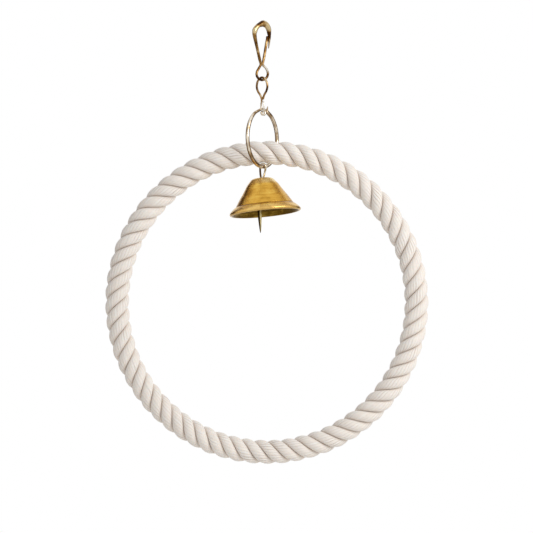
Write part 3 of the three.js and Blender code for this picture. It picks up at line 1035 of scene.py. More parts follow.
@dataclass
class SnapHook:
    """The hook that rests on the cage bar, and its springy gate: one wire in the real thing."""

    yaw: float = math.radians(40)
    half: float = 10.0
    bow: float = 34.3
    crown: float = 3.0
    crown_depth: float = 2.4
    arm: float = 1.45
    eye_wire: float = 1.15
    eye_half: float = 6.7
    eye_length: float = 14.4
    nose: float = 19.2
    nose_wire: float = 0.95
    gate_wire: float = 1.25
    gate_ease: float = 0.05
    end_drop: float = 0.6
    end_shift: float = 0.3
    end_share: float = 0.9
    dome_share: float = 0.87

    @property
    def waist(self) -> float:
        """The height where the two arms meet."""
        return -self.bow

    @property
    def eye_bottom(self) -> float:
        """The height of the eye's lowest wire, on its centre line."""
        return self.waist - self.eye_length

    @property
    def waist_gap(self) -> float:
        """How far each arm stands from the middle at the waist."""
        return (self.eye_wire + self.gate_wire) / 2 + CLEARANCE / 2

    @property
    def gate_root(self) -> float:
        """The height at which the gate starts to bend."""
        domes = self.dome_share * (self.eye_wire + self.end_share * self.gate_wire)
        return self.waist - self.end_drop + domes + CLEARANCE

    def hook_knots(self) -> list[Knot]:
        """Lists the wire from the tip of the nose over the crown to the end of the eye.

        Returns:
            The knots, at shares of the hook's sizes.
        """
        half, crown, bow, arm = self.half, self.crown, self.bow, self.arm

        def at(u: float, z: float, across: float, depth: float | None = None) -> Knot:
            """Gives a knot in the hook's plane."""
            return knot_in(self.yaw, u, z, across, depth)

        def eye_at(u: float, share: float) -> Knot:
            """Gives a knot of the eye by shares of its half width and its length."""
            return at(u * self.eye_half, self.waist - share * self.eye_length, self.eye_wire)

        return [
            at(0.89 * half, -self.nose, 0.28, 0.4),
            at(0.95 * half, -0.81 * self.nose, 0.65, 0.8),
            at(0.99 * half, -0.65 * self.nose, self.nose_wire, 1.1),
            at(1.02 * half, -0.47 * self.nose, 1.25, 1.5),
            at(0.99 * half, -0.28 * self.nose, 1.9, 0.8 * self.crown_depth),
            at(0.93 * half, -0.47 * crown, 0.83 * crown, 0.96 * self.crown_depth),
            at(0.69 * half, 0.67 * crown, 0.95 * crown, self.crown_depth),
            at(0.33 * half, 1.14 * crown, 1.02 * crown, self.crown_depth),
            at(0.02 * half, 0.92 * crown, 0.86 * crown, self.crown_depth),
            at(-0.32 * half, 0.45 * crown, 0.68 * crown, self.crown_depth),
            at(-0.6 * half, -0.42 * crown, 0.8 * crown, 0.96 * self.crown_depth),
            at(-0.72 * half, -1.2 * crown, 0.84 * crown, 0.94 * self.crown_depth),
            at(-0.76 * half, -0.22 * bow, 1.35 * arm, 0.75 * self.crown_depth),
            at(-0.56 * half, -0.48 * bow, arm),
            at(-0.39 * half, -0.67 * bow, 0.95 * arm),
            at(-self.waist_gap - 0.08 * half, -0.87 * bow, 0.95 * arm),
            at(self.end_shift - self.waist_gap, self.waist, self.eye_wire),
            eye_at(-0.5, 0.24),
            eye_at(-0.84, 0.46),
            eye_at(-0.92, 0.68),
            eye_at(-0.66, 0.88),
            eye_at(0.02, 1),
            eye_at(0.76, 0.87),
            eye_at(1.07, 0.65),
            eye_at(1.04, 0.45),
            eye_at(0.74, 0.22),
            at(self.waist_gap + self.end_shift, self.waist - self.end_drop, self.eye_wire),
            at(self.waist_gap + self.end_shift, self.gate_root, self.end_share * self.gate_wire),
        ]

    def gate_knots(self) -> list[Knot]:
        """Lists the springy arm from its root up to the inside of the nose.

        Returns:
            The knots, at shares of the hook's sizes.
        """
        half, wire_radius, bow = self.half, self.gate_wire, self.bow
        leaning = half - self.nose_wire - CLEARANCE - wire_radius - self.gate_ease

        def at(u: float, z: float, across: float) -> Knot:
            """Gives a knot in the hook's plane."""
            return knot_in(self.yaw, u, z, across)

        return [
            at(self.waist_gap + self.end_shift, self.gate_root, self.end_share * wire_radius),
            at(0.28 * half, -0.84 * bow, wire_radius),
            at(0.4 * half, -0.71 * bow, wire_radius),
            at(0.52 * half, -0.56 * bow, wire_radius),
            at(0.65 * half, -0.4 * bow, wire_radius),
            at(leaning, -0.31 * bow, wire_radius),
            at(leaning, -0.262 * bow, self.end_share * wire_radius),
        ]

    def build(self) -> None:
        """Builds the hook and its gate."""
        hook = wire("snap_hook_wire", self.hook_knots())
        place_piece(hook, HOOK_FINISH.material(), Body.HOOK, ["snap_hook"])
        gate = wire("hook_gate_wire", self.gate_knots())
        place_piece(gate, GATE_FINISH.material(), Body.GATE, ["hook_gate"])


@dataclass
class ConnectorLink:
    """The figure-eight wire between the hook's eye and the ring."""

    top: float
    yaw: float = math.radians(-45)
    twist: float = math.radians(-21)
    wire_radius: float = 1.0
    tip_radius: float = 0.85
    upper_length: float = 18.6
    upper_half: float = 6.9
    neck_length: float = 2.0
    neck_ease: float = 0.05
    lower_length: float = 11.2
    lower_half: float = 3.3

    @property
    def neck_top(self) -> float:
        """The height where the upper eye closes."""
        return self.top - self.upper_length

    @property
    def neck_bottom(self) -> float:
        """The height where the lower eye begins."""
        return self.neck_top - self.neck_length

    @property
    def bottom(self) -> float:
        """The height of the lower eye's lowest wire, on its centre line."""
        return self.neck_bottom - self.lower_length

    def knots(self) -> list[Knot]:
        """Lists the wire from the cut end of the lower eye round both eyes to the neck.

        Returns:
            The knots, at shares of each eye's size.
        """
        neck = self.wire_radius + CLEARANCE / 2 + self.neck_ease
        middle = (self.neck_top + self.neck_bottom) / 2

        def at(u: float, z: float, radius: float) -> Knot:
            """Gives a knot in the link's plane, which turns through the neck."""
            turned = min(1.0, max(0.0, (self.neck_top - z) / self.neck_length))
            return knot_in(self.yaw + self.twist * turned, u, z, radius)

        def upper(u: float, share: float) -> Knot:
            """Gives a knot of the upper eye by shares of its size."""
            return at(u * self.upper_half, self.top - share * self.upper_length, self.wire_radius)

        def lower(u: float, share: float) -> Knot:
            """Gives a knot of the lower eye by shares of its size."""
            z = self.neck_bottom - share * self.lower_length
            return at(u * self.lower_half, z, EYE_WIRE_SHARE * self.tip_radius)

        low = [(0.66, 0.16), (0.96, 0.36), (1, 0.6), (0.78, 0.85), (0, 1), (-0.78, 0.85), (-1, 0.6),
               (-0.9, 0.36), (-0.52, 0.12)]
        high = [(-0.38, 0.87), (-0.8, 0.68), (-1, 0.46), (-0.86, 0.22), (-0.46, 0.06), (0, 0),
                (0.46, 0.06), (0.86, 0.22), (1, 0.46), (0.8, 0.68), (0.38, 0.87)]
        return [
            *(lower(*shares) for shares in low),
            at(-neck, middle, self.wire_radius),
            *(upper(*shares) for shares in high),
            at(neck, middle, self.wire_radius),
        ]

    def build(self) -> None:
        """Builds the link."""
        link = wire("connector_link_wire", self.knots())
        place_piece(link, LINK_FINISH.material(), Body.LINK, ["connector_link"])


@dataclass
class HangingRing:
    """The open wire ring with its hook-and-eye clasp."""

    link_bottom: float
    link_radius: float
    yaw: float = math.radians(59)
    outer_diameter: float = 56.2
    wire_radius: float = 1.8
    offset: float = 1.6
    eye_wire: float = 1.1
    eye_length: float = 9.0
    eye_inset: float = 1.8
    eye_ease: float = 0.25
    eye_right: float = 0.9
    eye_left: float = 1.1
    eye_bow: float = 0.4
    clasp_gap: float = 1.35
    spike: float = 6.2
    bends: int = 18
    thickening_bends: int = 3

    @property
    def bend_radius(self) -> float:
        """The radius of the ring's centre line."""
        return self.outer_diameter / 2 - self.wire_radius

    @property
    def centre(self) -> float:
        """The height of the ring's centre."""
        return self.link_bottom + self.eye_inset - self.bend_radius

    @property
    def lowest(self) -> np.ndarray:
        """The lowest point of the ring's centre line."""
        return in_plane(self.yaw, -self.offset, self.centre - self.bend_radius)

    def knots(self) -> list[Knot]:
        """Lists the wire from the inside of the eye round the ring to the spike's tip.

        Returns:
            The knots.
        """
        eye_z = self.link_bottom
        tall = self.link_radius + CLEARANCE + self.eye_ease + self.eye_wire
        right = self.eye_length / 2 + self.eye_right - self.eye_wire
        left = self.eye_left - self.eye_length / 2 + self.eye_wire
        middle = (left + right) / 2 + self.eye_bow

        def at(u: float, z: float, radius: float) -> Knot:
            """Gives a knot in the ring's plane."""
            return knot_in(self.yaw, u, z, radius)

        clasp_u = right + self.eye_wire + CLEARANCE + self.clasp_gap
        clasp_angle = math.asin((clasp_u + self.offset) / self.bend_radius)
        clasp_z = self.centre + self.bend_radius * math.cos(clasp_angle)
        drawn = EYE_WIRE_SHARE * self.eye_wire
        knots = [
            at(left - 0.3, eye_z - 0.35 * tall, drawn),
            at(left + 1.1, eye_z - 0.96 * tall, drawn),
            at(middle, eye_z - 1.02 * tall, drawn),
            at(right - 1, eye_z - 0.93 * tall, drawn),
            at(right, eye_z, drawn),
            at(right - 1, eye_z + 0.93 * tall, drawn),
            at(middle, eye_z + 1.06 * tall, drawn),
            at(left + 0.4, eye_z + 1.16 * tall, 1.1 * drawn),
        ]
        start = math.radians(-9)
        end = clasp_angle - 2 * math.pi + math.radians(3)
        for i in range(self.bends + 1):
            angle = start + (end - start) * i / self.bends
            radius = 1.2 * drawn
            radius += (self.wire_radius - radius) * min(1.0, i / self.thickening_bends)
            u = self.bend_radius * math.sin(angle) - self.offset
            knots.append(at(u, self.centre + self.bend_radius * math.cos(angle), radius))
        knots += [
            at(clasp_u + 0.5, clasp_z + 0.4, 0.72 * self.wire_radius),
            at(clasp_u + 1.3, clasp_z + 0.42 * self.spike, 0.45 * self.wire_radius),
            at(clasp_u + 2.4, clasp_z + 0.8 * self.spike, 0.16 * self.wire_radius),
        ]
        return knots

    def build(self) -> None:
        """Builds the ring."""
        ring = wire("hanging_ring_wire", self.knots(), sides=28)
        place_piece(ring, RING_FINISH.material(), Body.RING, ["hanging_ring"])


@dataclass
class RopeHoop:
    """The three-strand cotton rope hoop, pressed flat where the ring and the hanger bear on it."""

    centre_z: float
    seat_from_top: float
    inner_diameter: float = 254.0
    rope_radius: float = 11.0
    strands: int = 3
    lay_turns: int = 21
    lay_start: float = math.radians(27.6)
    lay_drift: float = math.radians(52.9)
    lay_drift_from: float = math.radians(161.4)
    seat_length: float = 3.0
    seat_run_out: float = 4.5
    seat_half_angle: float = math.radians(58)
    seat_depth: float = 2.1
    seat_softness: float = 0.25
    core_space: float = 2.7
    cheek_reach: float = 5.2
    strand_gap: float = 0.12
    dust_and_shade_depth: float = 3.5
    yarns: int = 504
    yarn_relief: float = 0.2
    yarn_profile: tuple[float, ...] = (-1.0, 0.28, 0.57, 0.57, 0.28)
    yarn_spread: float = 0.35
    furrow_range: tuple[float, float] = (0.25, 1.3)
    bed_height: float = 0.12
    bed_weight: float = 0.6
    relief_power: int = 6
    back_fall: float = 2.6
    edge_fall: float = 1.5
    back_points: int = 14
    back_tilt: float = math.radians(70)
    lookup_points: int = 20000
    fibre_count: int = 2400
    fibre_length: tuple[float, float, float] = (0.7, 2.6, 1.1)
    fibre_lean: float = 1.3
    fibre_drift: float = 0.09
    fibre_radius: float = 0.05
    fibre_root: float = 0.25
    fibre_share: float = 0.85
    fibre_rise: float = 0.55
    fibre_bend: float = 1.4
    fibre_taper: float = 0.75
    seed: int = 7

    @property
    def radius(self) -> float:
        """The radius of the hoop's centre line."""
        return self.inner_diameter / 2 + self.rope_radius

    def strand_turn(self, angle: np.ndarray, strand: int) -> np.ndarray:
        """Gives how far a strand has turned round the rope.

        Args:
            angle: The place round the hoop, zero at the right and growing over the top.
            strand: The strand's number.

        Returns:
            The turn: zero faces outward, and a quarter turn faces the viewer.
        """
        laid = self.lay_start - self.lay_turns * angle
        laid = laid + self.lay_drift * np.cos(angle - self.lay_drift_from)
        return laid + strand * 2 * math.pi / self.strands

    def pressed(self, angle: np.ndarray, turn: np.ndarray) -> np.ndarray:
        """Gives the largest radius that the rope may have where the metal bears on it.

        Args:
            angle: The place round the hoop.
            turn: The turn round the rope.

        Returns:
            The radius in millimetres.
        """

        def wrapped(value: np.ndarray) -> np.ndarray:
            """Brings an angle to between minus and plus half a turn."""
            return np.arctan2(np.sin(value), np.cos(value))

        def fade(value: np.ndarray, low: float, high: float) -> np.ndarray:
            """Falls smoothly from one to zero between two values."""
            t = np.clip((value - low) / (high - low), 0, 1)
            return 1 - t * t * (3 - 2 * t)

        along = np.abs(wrapped(angle - math.pi / 2) * self.radius - self.seat_from_top)
        lengthwise = fade(along, self.seat_length / 2, self.seat_length / 2 + self.seat_run_out)
        around = fade(np.abs(wrapped(turn - math.pi)), self.seat_half_angle, 1.5 * self.seat_half_angle)
        free = self.rope_radius + 2 * self.seat_softness
        return free - (free - self.rope_radius + self.seat_depth) * lengthwise * around

    def on_rope(self, angle: np.ndarray, turn: np.ndarray, reach: np.ndarray) -> np.ndarray:
        """Turns rope coordinates to places in the frame.

        Args:
            angle: The place round the hoop.
            turn: The turn round the rope.
            reach: The distance from the rope's centre line.

        Returns:
            The places in millimetres.
        """
        out = self.radius + reach * np.cos(turn)
        return np.stack(
            [out * np.cos(angle), -reach * np.sin(turn), self.centre_z + out * np.sin(angle)], axis=-1
        )

    def back(self, share: np.ndarray) -> np.ndarray:
        """Gives the radius over a strand's back: full in the middle and turned in at the grooves."""
        side = np.abs(share)
        return self.rope_radius - self.back_fall * side**2 - self.edge_fall * side**8

    def strand(self, number: int, noise: np.random.Generator) -> bpy.types.Object:
        """Builds a strand whose rows follow its yarns, so that each yarn stands out in relief.

        The yarns are twisted against the lay, so on the strand's crown they run along the rope,
        and they bend into the grooves at its sides.

        Args:
            number: The strand's number.
            noise: The source of the yarns' small differences.

        Returns:
            The strand as one endless body.
        """
        swing = math.sin(self.back_tilt)
        ratio = swing / (math.pi / self.strands)
        lift = np.linspace(-self.back_tilt, self.back_tilt, self.back_points)
        share = np.sin(lift) / swing
        fine = np.linspace(0, 3 * math.pi, self.lookup_points)
        wound = -self.strand_turn(fine, number)
        start = -self.strand_turn(np.array(math.pi / 2), number)
        total = self.lay_turns * 2 * math.pi * ratio
        per_yarn = len(self.yarn_profile)
        lines = self.yarns * per_yarn
        phase = np.arange(lines) / per_yarn
        begin = phase / self.yarns * total
        angle = np.interp((begin[:, None] + lift[None, :]) / ratio + start, wound, fine)
        turn = self.strand_turn(angle, number) + share[None, :] * math.pi / self.strands
        heights = 1 + self.yarn_spread * noise.standard_normal(self.yarns)
        furrows = noise.uniform(*self.furrow_range, self.yarns)
        crest = np.repeat(heights, per_yarn) * np.tile(self.yarn_profile, self.yarns)
        crest[::per_yarn] *= furrows
        bed = np.repeat(self.bed_height * noise.standard_normal(self.yarns), per_yarn)
        edge = 1 - np.abs(share) ** self.relief_power
        relief = self.yarn_relief * crest[:, None] * edge[None, :]
        relief = relief + bed[:, None] * edge[None, :] * self.bed_weight
        full = self.back(share)[None, :] + relief
        soft = self.seat_softness
        reach = -soft * np.logaddexp(-full / soft, -self.pressed(angle, turn) / soft)
        gap = self.strand_gap / 2
        # The two edges stand back by half the gap, so that the strands stay apart.
        at_groove = np.abs(share)[None, :] > 0.999
        turn = turn - np.sign(share)[None, :] * at_groove * gap / reach
        inner_share = np.array([1.0, 1.0, 0.0, -1.0, -1.0])
        inner_column = np.array([-1, -1, self.back_points // 2, 0, 0])
        core, cheek = self.core_space, self.cheek_reach
        inner_reach = np.array([cheek, core, core, core, cheek])
        inner_angle = angle[:, inner_column]
        inner_angle[:, 2] = (angle[:, 0] + angle[:, -1]) / 2
        inner_turn = self.strand_turn(inner_angle, number) + inner_share * math.pi / self.strands
        inner_turn = inner_turn - np.sign(inner_share) * gap / inner_reach
        all_angle = np.hstack([angle, inner_angle])
        all_turn = np.hstack([turn, inner_turn])
        all_reach = np.hstack([reach, np.broadcast_to(inner_reach, inner_angle.shape)])
        rings = self.on_rope(all_angle, all_turn, all_reach)
        yarn = np.zeros_like(rings)
        # Each strand's yarns have numbers of their own, so that no two strands are tinted alike.
        yarn[..., 0] = phase[:, None] + 1000 * number
        yarn[..., 1] = all_angle * self.radius
        # The third value is the depth below the strand's back, which sets the dust and painted shade in
        # the grooves.
        yarn[..., 2] = np.clip((self.rope_radius - all_reach) / self.dust_and_shade_depth, 0, 1)
        name = f"cotton_strand_{number + 1}"
        return grid_mesh(name, rings, rings, True, {YARN: yarn})

    def fibres(self) -> bpy.types.Object:
        """Builds the loose fibres that stand up from the rope, each a thin curved cone.

        Returns:
            The fibres as one object.
        """
        chance = random.Random(self.seed)
        points: list[np.ndarray] = []
        faces: list[list[int]] = []
        yarn: list[tuple[float, float, float]] = []
        levels, sides = 4, 3
        for _ in range(self.fibre_count):
            angle = chance.uniform(0, 2 * math.pi)
            strand = chance.randrange(self.strands)
            share = chance.triangular(-self.fibre_share, self.fibre_share, 0)
            turn = float(self.strand_turn(np.array(angle), strand)) + share * math.pi / self.strands
            pressed = self.pressed(np.array(angle), np.array(turn))
            root = float(np.minimum(self.back(np.array(share)), pressed))
            length = chance.triangular(*self.fibre_length)
            lean = chance.uniform(-self.fibre_lean, self.fibre_lean)
            drift = chance.uniform(-self.fibre_drift, self.fibre_drift)
            base = len(points)
            for level in range(levels):
                t = level / (levels - 1)
                lift = length * self.fibre_rise * math.sin(t * self.fibre_bend)
                rise = root - self.fibre_root + lift
                here = angle + (lean * length * t) / self.radius
                spin = turn + drift * t * t * length
                centre = self.on_rope(np.array(here), np.array(spin), np.array(rise))
                outward = unit(self.on_rope(np.array(here), np.array(spin), np.array(rise + 1)) - centre)
                side = unit(np.cross(outward, np.array([math.sin(here), 0.3, -math.cos(here)])))
                other = np.cross(outward, side)
                # Real fibres are 0.02 mm thick: these are 0.1 mm at the root so that they show.
                thick = self.fibre_radius * (1 - self.fibre_taper * t)
                for k in range(sides):
                    a = 2 * math.pi * k / sides
                    points.append(centre + thick * (math.cos(a) * side + math.sin(a) * other))
                    yarn.append((0.0, t, 0.0))
            for level in range(levels - 1):
                for k in range(sides):
                    near = base + level * sides
                    far = near + sides
                    following = (k + 1) % sides
                    faces.append([near + k, near + following, far + following, far + k])
            faces.append([base + k for k in reversed(range(sides))])
            faces.append([base + (levels - 1) * sides + k for k in range(sides)])
        mesh = bpy.data.meshes.new("loose_cotton_fibres")
        mesh.from_pydata((np.array(points) * MM).tolist(), [], faces)
        stored = mesh.attributes.new(YARN, "FLOAT_VECTOR", "POINT")
        stored.data.foreach_set("vector", np.array(yarn, dtype=np.float32).reshape(-1))
        mesh.polygons.foreach_set("use_smooth", [True] * len(mesh.polygons))
        mesh.update()
        piece = bpy.data.objects.new("loose_cotton_fibres", mesh)
        bpy.context.scene.collection.objects.link(piece)
        return piece

    def build(self) -> None:
        """Builds the strands and the loose fibres, and dresses the core wire inside them."""
        cotton = CottonFinish().material()
        noise = np.random.default_rng(self.seed)
        for number in range(self.strands):
            piece = self.strand(number, noise)
            place_piece(piece, cotton, Body.HOOP, [f"rope_strand_{number + 1}"])
        place_piece(self.fibres(), LooseFibreFinish().material(), Body.HOOP, [])
        dress_node("hoop_core_wire", CORE_FINISH.material())


def dress_node(name: str, material: bpy.types.Material) -> None:
    """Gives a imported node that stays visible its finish.

    Args:
        name: The node's name.
        material: The finish that it takes.
    """
    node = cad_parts[name]
    node.data.materials.clear()
    node.data.materials.append(material)
    log.info("%s: kept from the packed model, %s", name, material.name)


@dataclass
class Bell:
    """The spun brass bell, its wire hanger on the ring, and the clapper inside."""

    ring_lowest: np.ndarray
    ring_yaw: float
    ring_radius: float
    rim: float = 33.0
    height: float = 32.6
    wall: float = 1.2
    hole: float = 3.2
    lean_right: float = math.radians(4.4)
    lean_forward: float = math.radians(5.5)
    hanger_radius: float = 0.9
    hanger_length: float = 10.5
    hanger_shift: tuple[float, float] = (-1.2, 1.6)
    leg_spacing: float = 2.0
    eye_width: float = 5.4
    eye_length: float = 5.4
    eye_offset: float = -2.9
    leg_bow: float = 0.3
    clapper_length: float = 42.7
    clapper_corner: float = 1.95
    clapper_eye: float = 0.75
    clapper_ease: float = 0.1
    clapper_neck: float = 6.0
    clapper_lean: float = math.radians(-1.3)
    clapper_twist: float = math.radians(31)
    segments: int = 160
    profile_steps: int = 5
    inside_steps: int = 4
    outside_spans: int = 18

    @property
    def crown_top(self) -> np.ndarray:
        """The top of the crown on the bell's axis."""
        shift = np.array([*self.hanger_shift, -self.hanger_length])
        return self.ring_lowest + shift

    @property
    def span(self) -> float:
        """The distance from the ring's wire to the crown."""
        return float(np.linalg.norm(self.crown_top - self.ring_lowest))

    @property
    def inner_eye_top(self) -> float:
        """How far below the ring's wire the hanger's eye begins."""
        return self.span + self.wall + 2 * CLEARANCE + self.hanger_radius

    @property
    def inner_eye_bottom(self) -> float:
        """How far below the ring's wire the hanger's eye ends."""
        return self.inner_eye_top + self.eye_length

    def hanger_frame(self) -> tuple[np.ndarray, np.ndarray]:
        """Gives the hanger's across and down directions.

        Returns:
            The two directions, each one long.
        """
        down = unit(self.crown_top - self.ring_lowest)
        sideways = -plane_normal(self.ring_yaw)
        across = unit(sideways - down * float(sideways @ down))
        return across, down

    def hanger_point(self, u: float, drop: float) -> np.ndarray:
        """Gives a point in the hanger's plane."""
        across, down = self.hanger_frame()
        return self.ring_lowest + across * u + down * drop

    def profile(self) -> np.ndarray:
        """Gives the shell's closed outline, outside first.

        Returns:
            Rows of radius and height in millimetres.
        """
        rim, tall, wall, hole = self.rim, self.height, self.wall, self.hole
        outside = np.array([
            [hole, 0], [0.17 * rim, 0.2 * wall], [0.25 * rim, -0.1 * wall], [0.31 * rim, -0.035 * tall],
            [0.375 * rim, -0.105 * tall], [0.445 * rim, -0.19 * tall], [0.51 * rim, -0.295 * tall],
            [0.58 * rim, -0.405 * tall], [0.66 * rim, -0.52 * tall], [0.73 * rim, -0.632 * tall],
            [0.797 * rim, -0.74 * tall], [0.812 * rim, -0.77 * tall], [0.862 * rim, -0.8 * tall],
            [0.925 * rim, -0.855 * tall], [0.98 * rim, -0.91 * tall], [rim, -0.95 * tall],
            [0.99 * rim, -0.985 * tall], [0.965 * rim, -tall], [0.943 * rim, -0.998 * tall],
            [0.965 * rim - wall, -0.985 * tall],
        ])
        inside = np.array([
            [0.92 * rim - wall, -0.87 * tall], [0.8 * rim - wall, -0.77 * tall],
            [0.65 * rim - wall, -0.53 * tall], [0.5 * rim - wall, -0.3 * tall],
            [0.37 * rim - wall, -0.12 * tall - 0.5 * wall], [0.24 * rim - wall, -1.2 * wall],
            [hole, -wall],
        ])
        outer = catmull_rom(outside, self.profile_steps, False)
        inner = catmull_rom(inside, self.inside_steps, False)
        return np.vstack([outer, inner])

    def shell(self) -> None:
        """Builds the shell by turning its outline round the bell's leaning axis."""
        outline = self.profile()
        turn = np.arange(self.segments) * 2 * math.pi / self.segments
        local = np.stack(
            np.broadcast_arrays(
                outline[None, :, 0] * np.cos(turn)[:, None],
                outline[None, :, 0] * np.sin(turn)[:, None],
                outline[None, :, 1],
            ),
            axis=-1,
        )
        lean = Matrix.Rotation(-self.lean_forward, 3, "X") @ Matrix.Rotation(-self.lean_right, 3, "Y")
        rings = local @ np.array(lean).T + self.crown_top
        shell = grid_mesh("bell_shell_spun", rings, np.array(local), True)
        place_piece(shell, BELL_FINISH.material(), Body.BELL, ["bell_shell"])
        # The inner faces take the darker copy of the brass, which is painted shade.
        shell.data.materials.append(BELL_SHADED_INSIDE_FINISH.material())
        inner = np.arange(len(outline)) >= self.outside_spans * self.profile_steps
        shell.data.polygons.foreach_set("material_index", np.tile(inner, self.segments).astype(np.int32))

    def hanger_knots(self) -> list[Knot]:
        """Lists the closed wire: the bow over the ring, two legs and the eye in the bell.

        Returns:
            The knots.
        """
        bow = self.ring_radius + CLEARANCE + self.hanger_radius
        leg = self.leg_spacing / 2
        eye = self.eye_width / 2
        across, down = self.hanger_frame()
        normal = unit(np.cross(across, down))

        def at(u: float, drop: float) -> Knot:
            """Gives a knot in the hanger's plane."""
            return Knot(self.hanger_point(u, drop), self.hanger_radius, self.hanger_radius, normal)

        top, length, middle = self.inner_eye_top, self.eye_length, self.eye_offset
        arc = [math.pi * i / 6 for i in range(7)]
        return [
            *(at(bow * math.cos(angle), -bow * math.sin(angle)) for angle in arc),
            at(-0.9 * bow, 0.3 * self.span),
            at(-0.5 * (bow + leg), 0.66 * self.span),
            at(-leg, self.span),
            at(-leg, top - self.hanger_radius),
            at(middle - 0.75 * eye, top + 0.42 * length),
            at(middle - eye, top + 0.64 * length),
            at(middle - 0.7 * eye, top + 0.9 * length),
            at(middle, self.inner_eye_bottom),
            at(middle + 0.7 * eye, top + 0.87 * length),
            at(middle + eye, top + 0.55 * length),
            at(0.5 * (middle + eye + leg) + self.leg_bow, top + 0.2 * length),
            at(leg, top - self.hanger_radius),
            at(leg, self.span),
            at(0.5 * (bow + leg), 0.66 * self.span),
            at(0.9 * bow, 0.3 * self.span),
        ]

    def clapper_knots(self) -> list[Knot]:
        """Lists the pin from the end of its rolled eye to its tip.

        Returns:
            The knots.
        """
        pivot = self.hanger_point(self.eye_offset, self.inner_eye_bottom)
        along = in_plane(self.ring_yaw, 1, 0)
        down = np.array([-math.sin(self.clapper_lean), 0, -math.cos(self.clapper_lean)])
        roll = self.hanger_radius + CLEARANCE + self.clapper_ease + self.clapper_eye
        normal = unit(np.cross(along, down))
        corner, length, full = self.clapper_corner, self.clapper_length, self.clapper_twist

        def at(u: float, drop: float, half: float, twist: float = 0.0) -> Knot:
            """Gives a knot in the clapper's plane, whose section is twisted about the pin."""
            turned = np.array(Matrix.Rotation(-twist, 3, Vector(down))) @ normal
            return Knot(pivot + along * u + down * drop, half, half, turned)

        rolled = [math.radians(degrees) for degrees in (70, 125, 180, 235, 290)]
        return [
            *(at(roll * math.sin(a), roll * math.cos(a), self.clapper_eye) for a in rolled),
            at(-0.35 * roll, 1.75 * roll, 1.1 * self.clapper_eye),
            at(0, roll + self.clapper_neck, 0.62 * corner, 0.5 * full),
            at(0, 0.33 * length, 0.9 * corner, full),
            at(0, 0.58 * length, corner, full),
            at(0, 0.8 * length, 0.66 * corner, full),
            at(0, 0.94 * length, 0.36 * corner, full),
            at(0, length, 0.1 * corner, full),
        ]

    def build(self) -> None:
        """Builds the shell, the hanger and the clapper."""
        self.shell()
        hanger = wire("bell_hanger_wire", self.hanger_knots(), closed=True)
        place_piece(hanger, HANGER_FINISH.material(), Body.BELL, ["bell_hanger"])
        clapper = wire("bell_clapper_pin", self.clapper_knots(), sides=24, section=Section.SQUARE)
        material = CLAPPER_FINISH.material()
        place_piece(clapper, material, Body.CLAPPER, ["bell_clapper"])


# Studio


@dataclass(frozen=True)
class DarkCard:
    """A dark card that stands beside and behind the object, out of the camera's sight.

    Polished wire and brass mirror it, which gives them the dark sides that set them off from the
    white round. It can also keep some of the fill from the cotton's shaded side.

    Attributes:
        name: The card's name.
        near: The place of its near edge on the floor plan, in metres.
        far: The place of its far edge.
        top: The height of its upper edge.
        shades: Whether it keeps light from matt surfaces.
        foot: The height of its lower edge.
    """

    name: str
    near: tuple[float, float]
    far: tuple[float, float]
    top: float
    shades: bool
    foot: float = -0.46

    def build(self) -> None:
        """Stands the card up as part of the studio."""
        mesh = bpy.data.meshes.new(self.name)
        corners = [(*self.near, self.foot), (*self.far, self.foot), (*self.far, self.top),
                   (*self.near, self.top)]
        mesh.from_pydata(corners, [], [(0, 1, 2, 3)])
        card = bpy.data.objects.new(self.name, mesh)
        card.data.materials.append(DarkCardFinish().material())
        card.visible_camera = False
        card.visible_diffuse = self.shades
        card.visible_shadow = False
        bpy.context.scene.collection.objects.link(card)


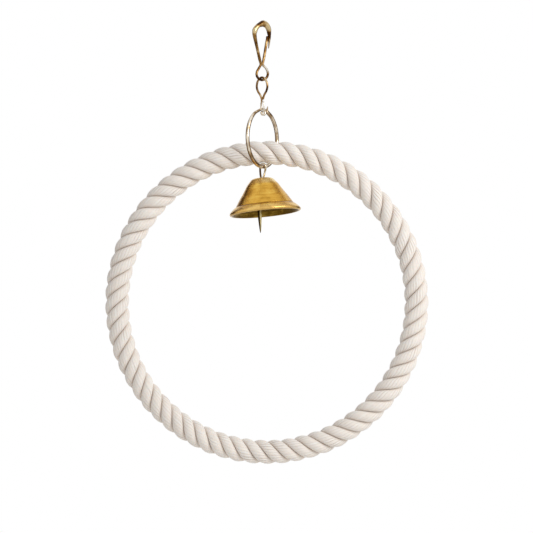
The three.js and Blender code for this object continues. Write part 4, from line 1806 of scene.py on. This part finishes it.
@dataclass
class Studio:
    """The camera at the picture's viewing angle, the soft lights, the floor and the white round."""

    distance: float = 4.0
    frame_width: float = 0.4916
    aim: tuple[float, float, float] = (0.0004, 0.0, -0.2207)
    roll: float = math.radians(1.272)
    sensor: float = 36.0
    floor_z: float = -0.64
    floor_half: float = 1.9
    fill: float = 0.6
    fill_colour: str = "#fffdfa"
    white: str = "#ffffff"
    lamp_colour: str = "#fffdf9"
    lamp_size: float = 1.0
    key_place: tuple[float, float, float] = (1.1, -0.95, 0.5)
    key_power: float = 12.0
    back_place: tuple[float, float, float] = (0.3, 1.6, 0.5)
    back_power: float = 6.0
    cards: tuple[DarkCard, ...] = (
        DarkCard("dark_card_left", (-0.9, 0.25), (-0.6, 1.1), 0.8, True),
        DarkCard("dark_card_right", (0.8, 0.5), (0.6, 1.1), 0.3, False),
    )

    def camera(self) -> None:
        """Sets the camera square to the hoop's plane, far off, with the picture's slight roll."""
        data = bpy.data.cameras.new("studio_camera")
        data.sensor_width = self.sensor
        data.lens = self.sensor * self.distance / self.frame_width
        data.clip_end = 50
        camera = bpy.data.objects.new("studio_camera", data)
        turn = Matrix.Rotation(math.radians(90), 4, "X") @ Matrix.Rotation(-self.roll, 4, "Z")
        spot = Matrix.Translation(Vector(self.aim) - Vector((0, self.distance, 0)))
        camera.matrix_world = spot @ turn
        bpy.context.scene.collection.objects.link(camera)
        bpy.context.scene.camera = camera

    def area_light(
        self, name: str, place: tuple[float, float, float], power: float, mirrored: bool
    ) -> None:
        """Adds a soft square lamp that faces the middle of the object.

        Args:
            name: The lamp's name.
            place: Where it stands, in metres.
            power: Its power in watts.
            mirrored: Whether shiny metal shows it.
        """
        data = bpy.data.lights.new(name, "AREA")
        data.size = self.lamp_size
        data.energy = power
        data.color = linear(self.lamp_colour)[:3]
        lamp = bpy.data.objects.new(name, data)
        lamp.location = place
        lamp.rotation_euler = (Vector(self.aim) - Vector(place)).to_track_quat("-Z", "Y").to_euler()
        lamp.visible_glossy = mirrored
        bpy.context.scene.collection.objects.link(lamp)

    def world(self) -> None:
        """Fills from all round, and shows plain white to the camera and to shiny metal."""
        world = bpy.data.worlds.new("studio_white")
        world.use_nodes = True
        bpy.context.scene.world = world
        tree = world.node_tree
        tree.nodes.clear()
        rays = add_node(tree, Kind.LIGHT_PATH).outputs
        direct = {0: rays["Is Camera Ray"], 1: rays["Is Glossy Ray"]}
        seen = add_node(tree, Kind.MATHS, direct, operation="MAXIMUM")
        shown = add_node(
            tree, Kind.MATHS, {0: seen, 1: rays["Is Transmission Ray"]}, operation="MAXIMUM"
        )
        fill_light = {"Color": linear(self.fill_colour), "Strength": self.fill}
        fill = add_node(tree, Kind.BACKGROUND, fill_light)
        white = add_node(tree, Kind.BACKGROUND, {"Color": linear(self.white), "Strength": 1.0})
        mixed = add_node(tree, Kind.MIX_SHADER, {0: shown, 1: fill, 2: white})
        add_node(tree, Kind.WORLD_OUTPUT, {"Surface": mixed})

    def floor(self) -> None:
        """Lays a pale paper floor well below the hoop."""
        half = self.floor_half
        mesh = bpy.data.meshes.new("paper_floor")
        plan = [(-half, -half), (half, -half), (half, half), (-half, half)]
        corners = [(x, y, self.floor_z) for x, y in plan]
        mesh.from_pydata(corners, [], [(0, 1, 2, 3)])
        floor = bpy.data.objects.new("paper_floor", mesh)
        floor.data.materials.append(StudioPaperFinish().material())
        bpy.context.scene.collection.objects.link(floor)

    def build(self) -> None:
        """Sets up the whole studio."""
        scene = bpy.context.scene
        scene.view_settings.view_transform = "Standard"
        self.camera()
        self.world()
        self.floor()
        for card in self.cards:
            card.build()
        self.area_light("key_softbox", self.key_place, self.key_power, True)
        self.area_light("back_softbox", self.back_place, self.back_power, False)
        log.info("studio: camera %.1f m away, fill %.2f", self.distance, self.fill)


def main() -> None:
    """Builds every piece from the bar down, then the studio."""
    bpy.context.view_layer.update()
    hook = SnapHook()
    link_top = hook.eye_bottom + hook.eye_wire + CLEARANCE + ConnectorLink.wire_radius
    link = ConnectorLink(top=link_top)
    ring = HangingRing(link_bottom=link.bottom, link_radius=link.tip_radius)
    underside = float(ring.lowest[2]) + ring.wire_radius + CLEARANCE
    centre_z = underside - RopeHoop.inner_diameter / 2
    rope = RopeHoop(centre_z=centre_z, seat_from_top=ring.offset * math.cos(ring.yaw))
    bell = Bell(ring_lowest=ring.lowest, ring_yaw=ring.yaw, ring_radius=ring.wire_radius)
    for part in (hook, link, ring, rope, bell):
        part.build()
    Studio().build()


if __name__ == "__main__":
    main()
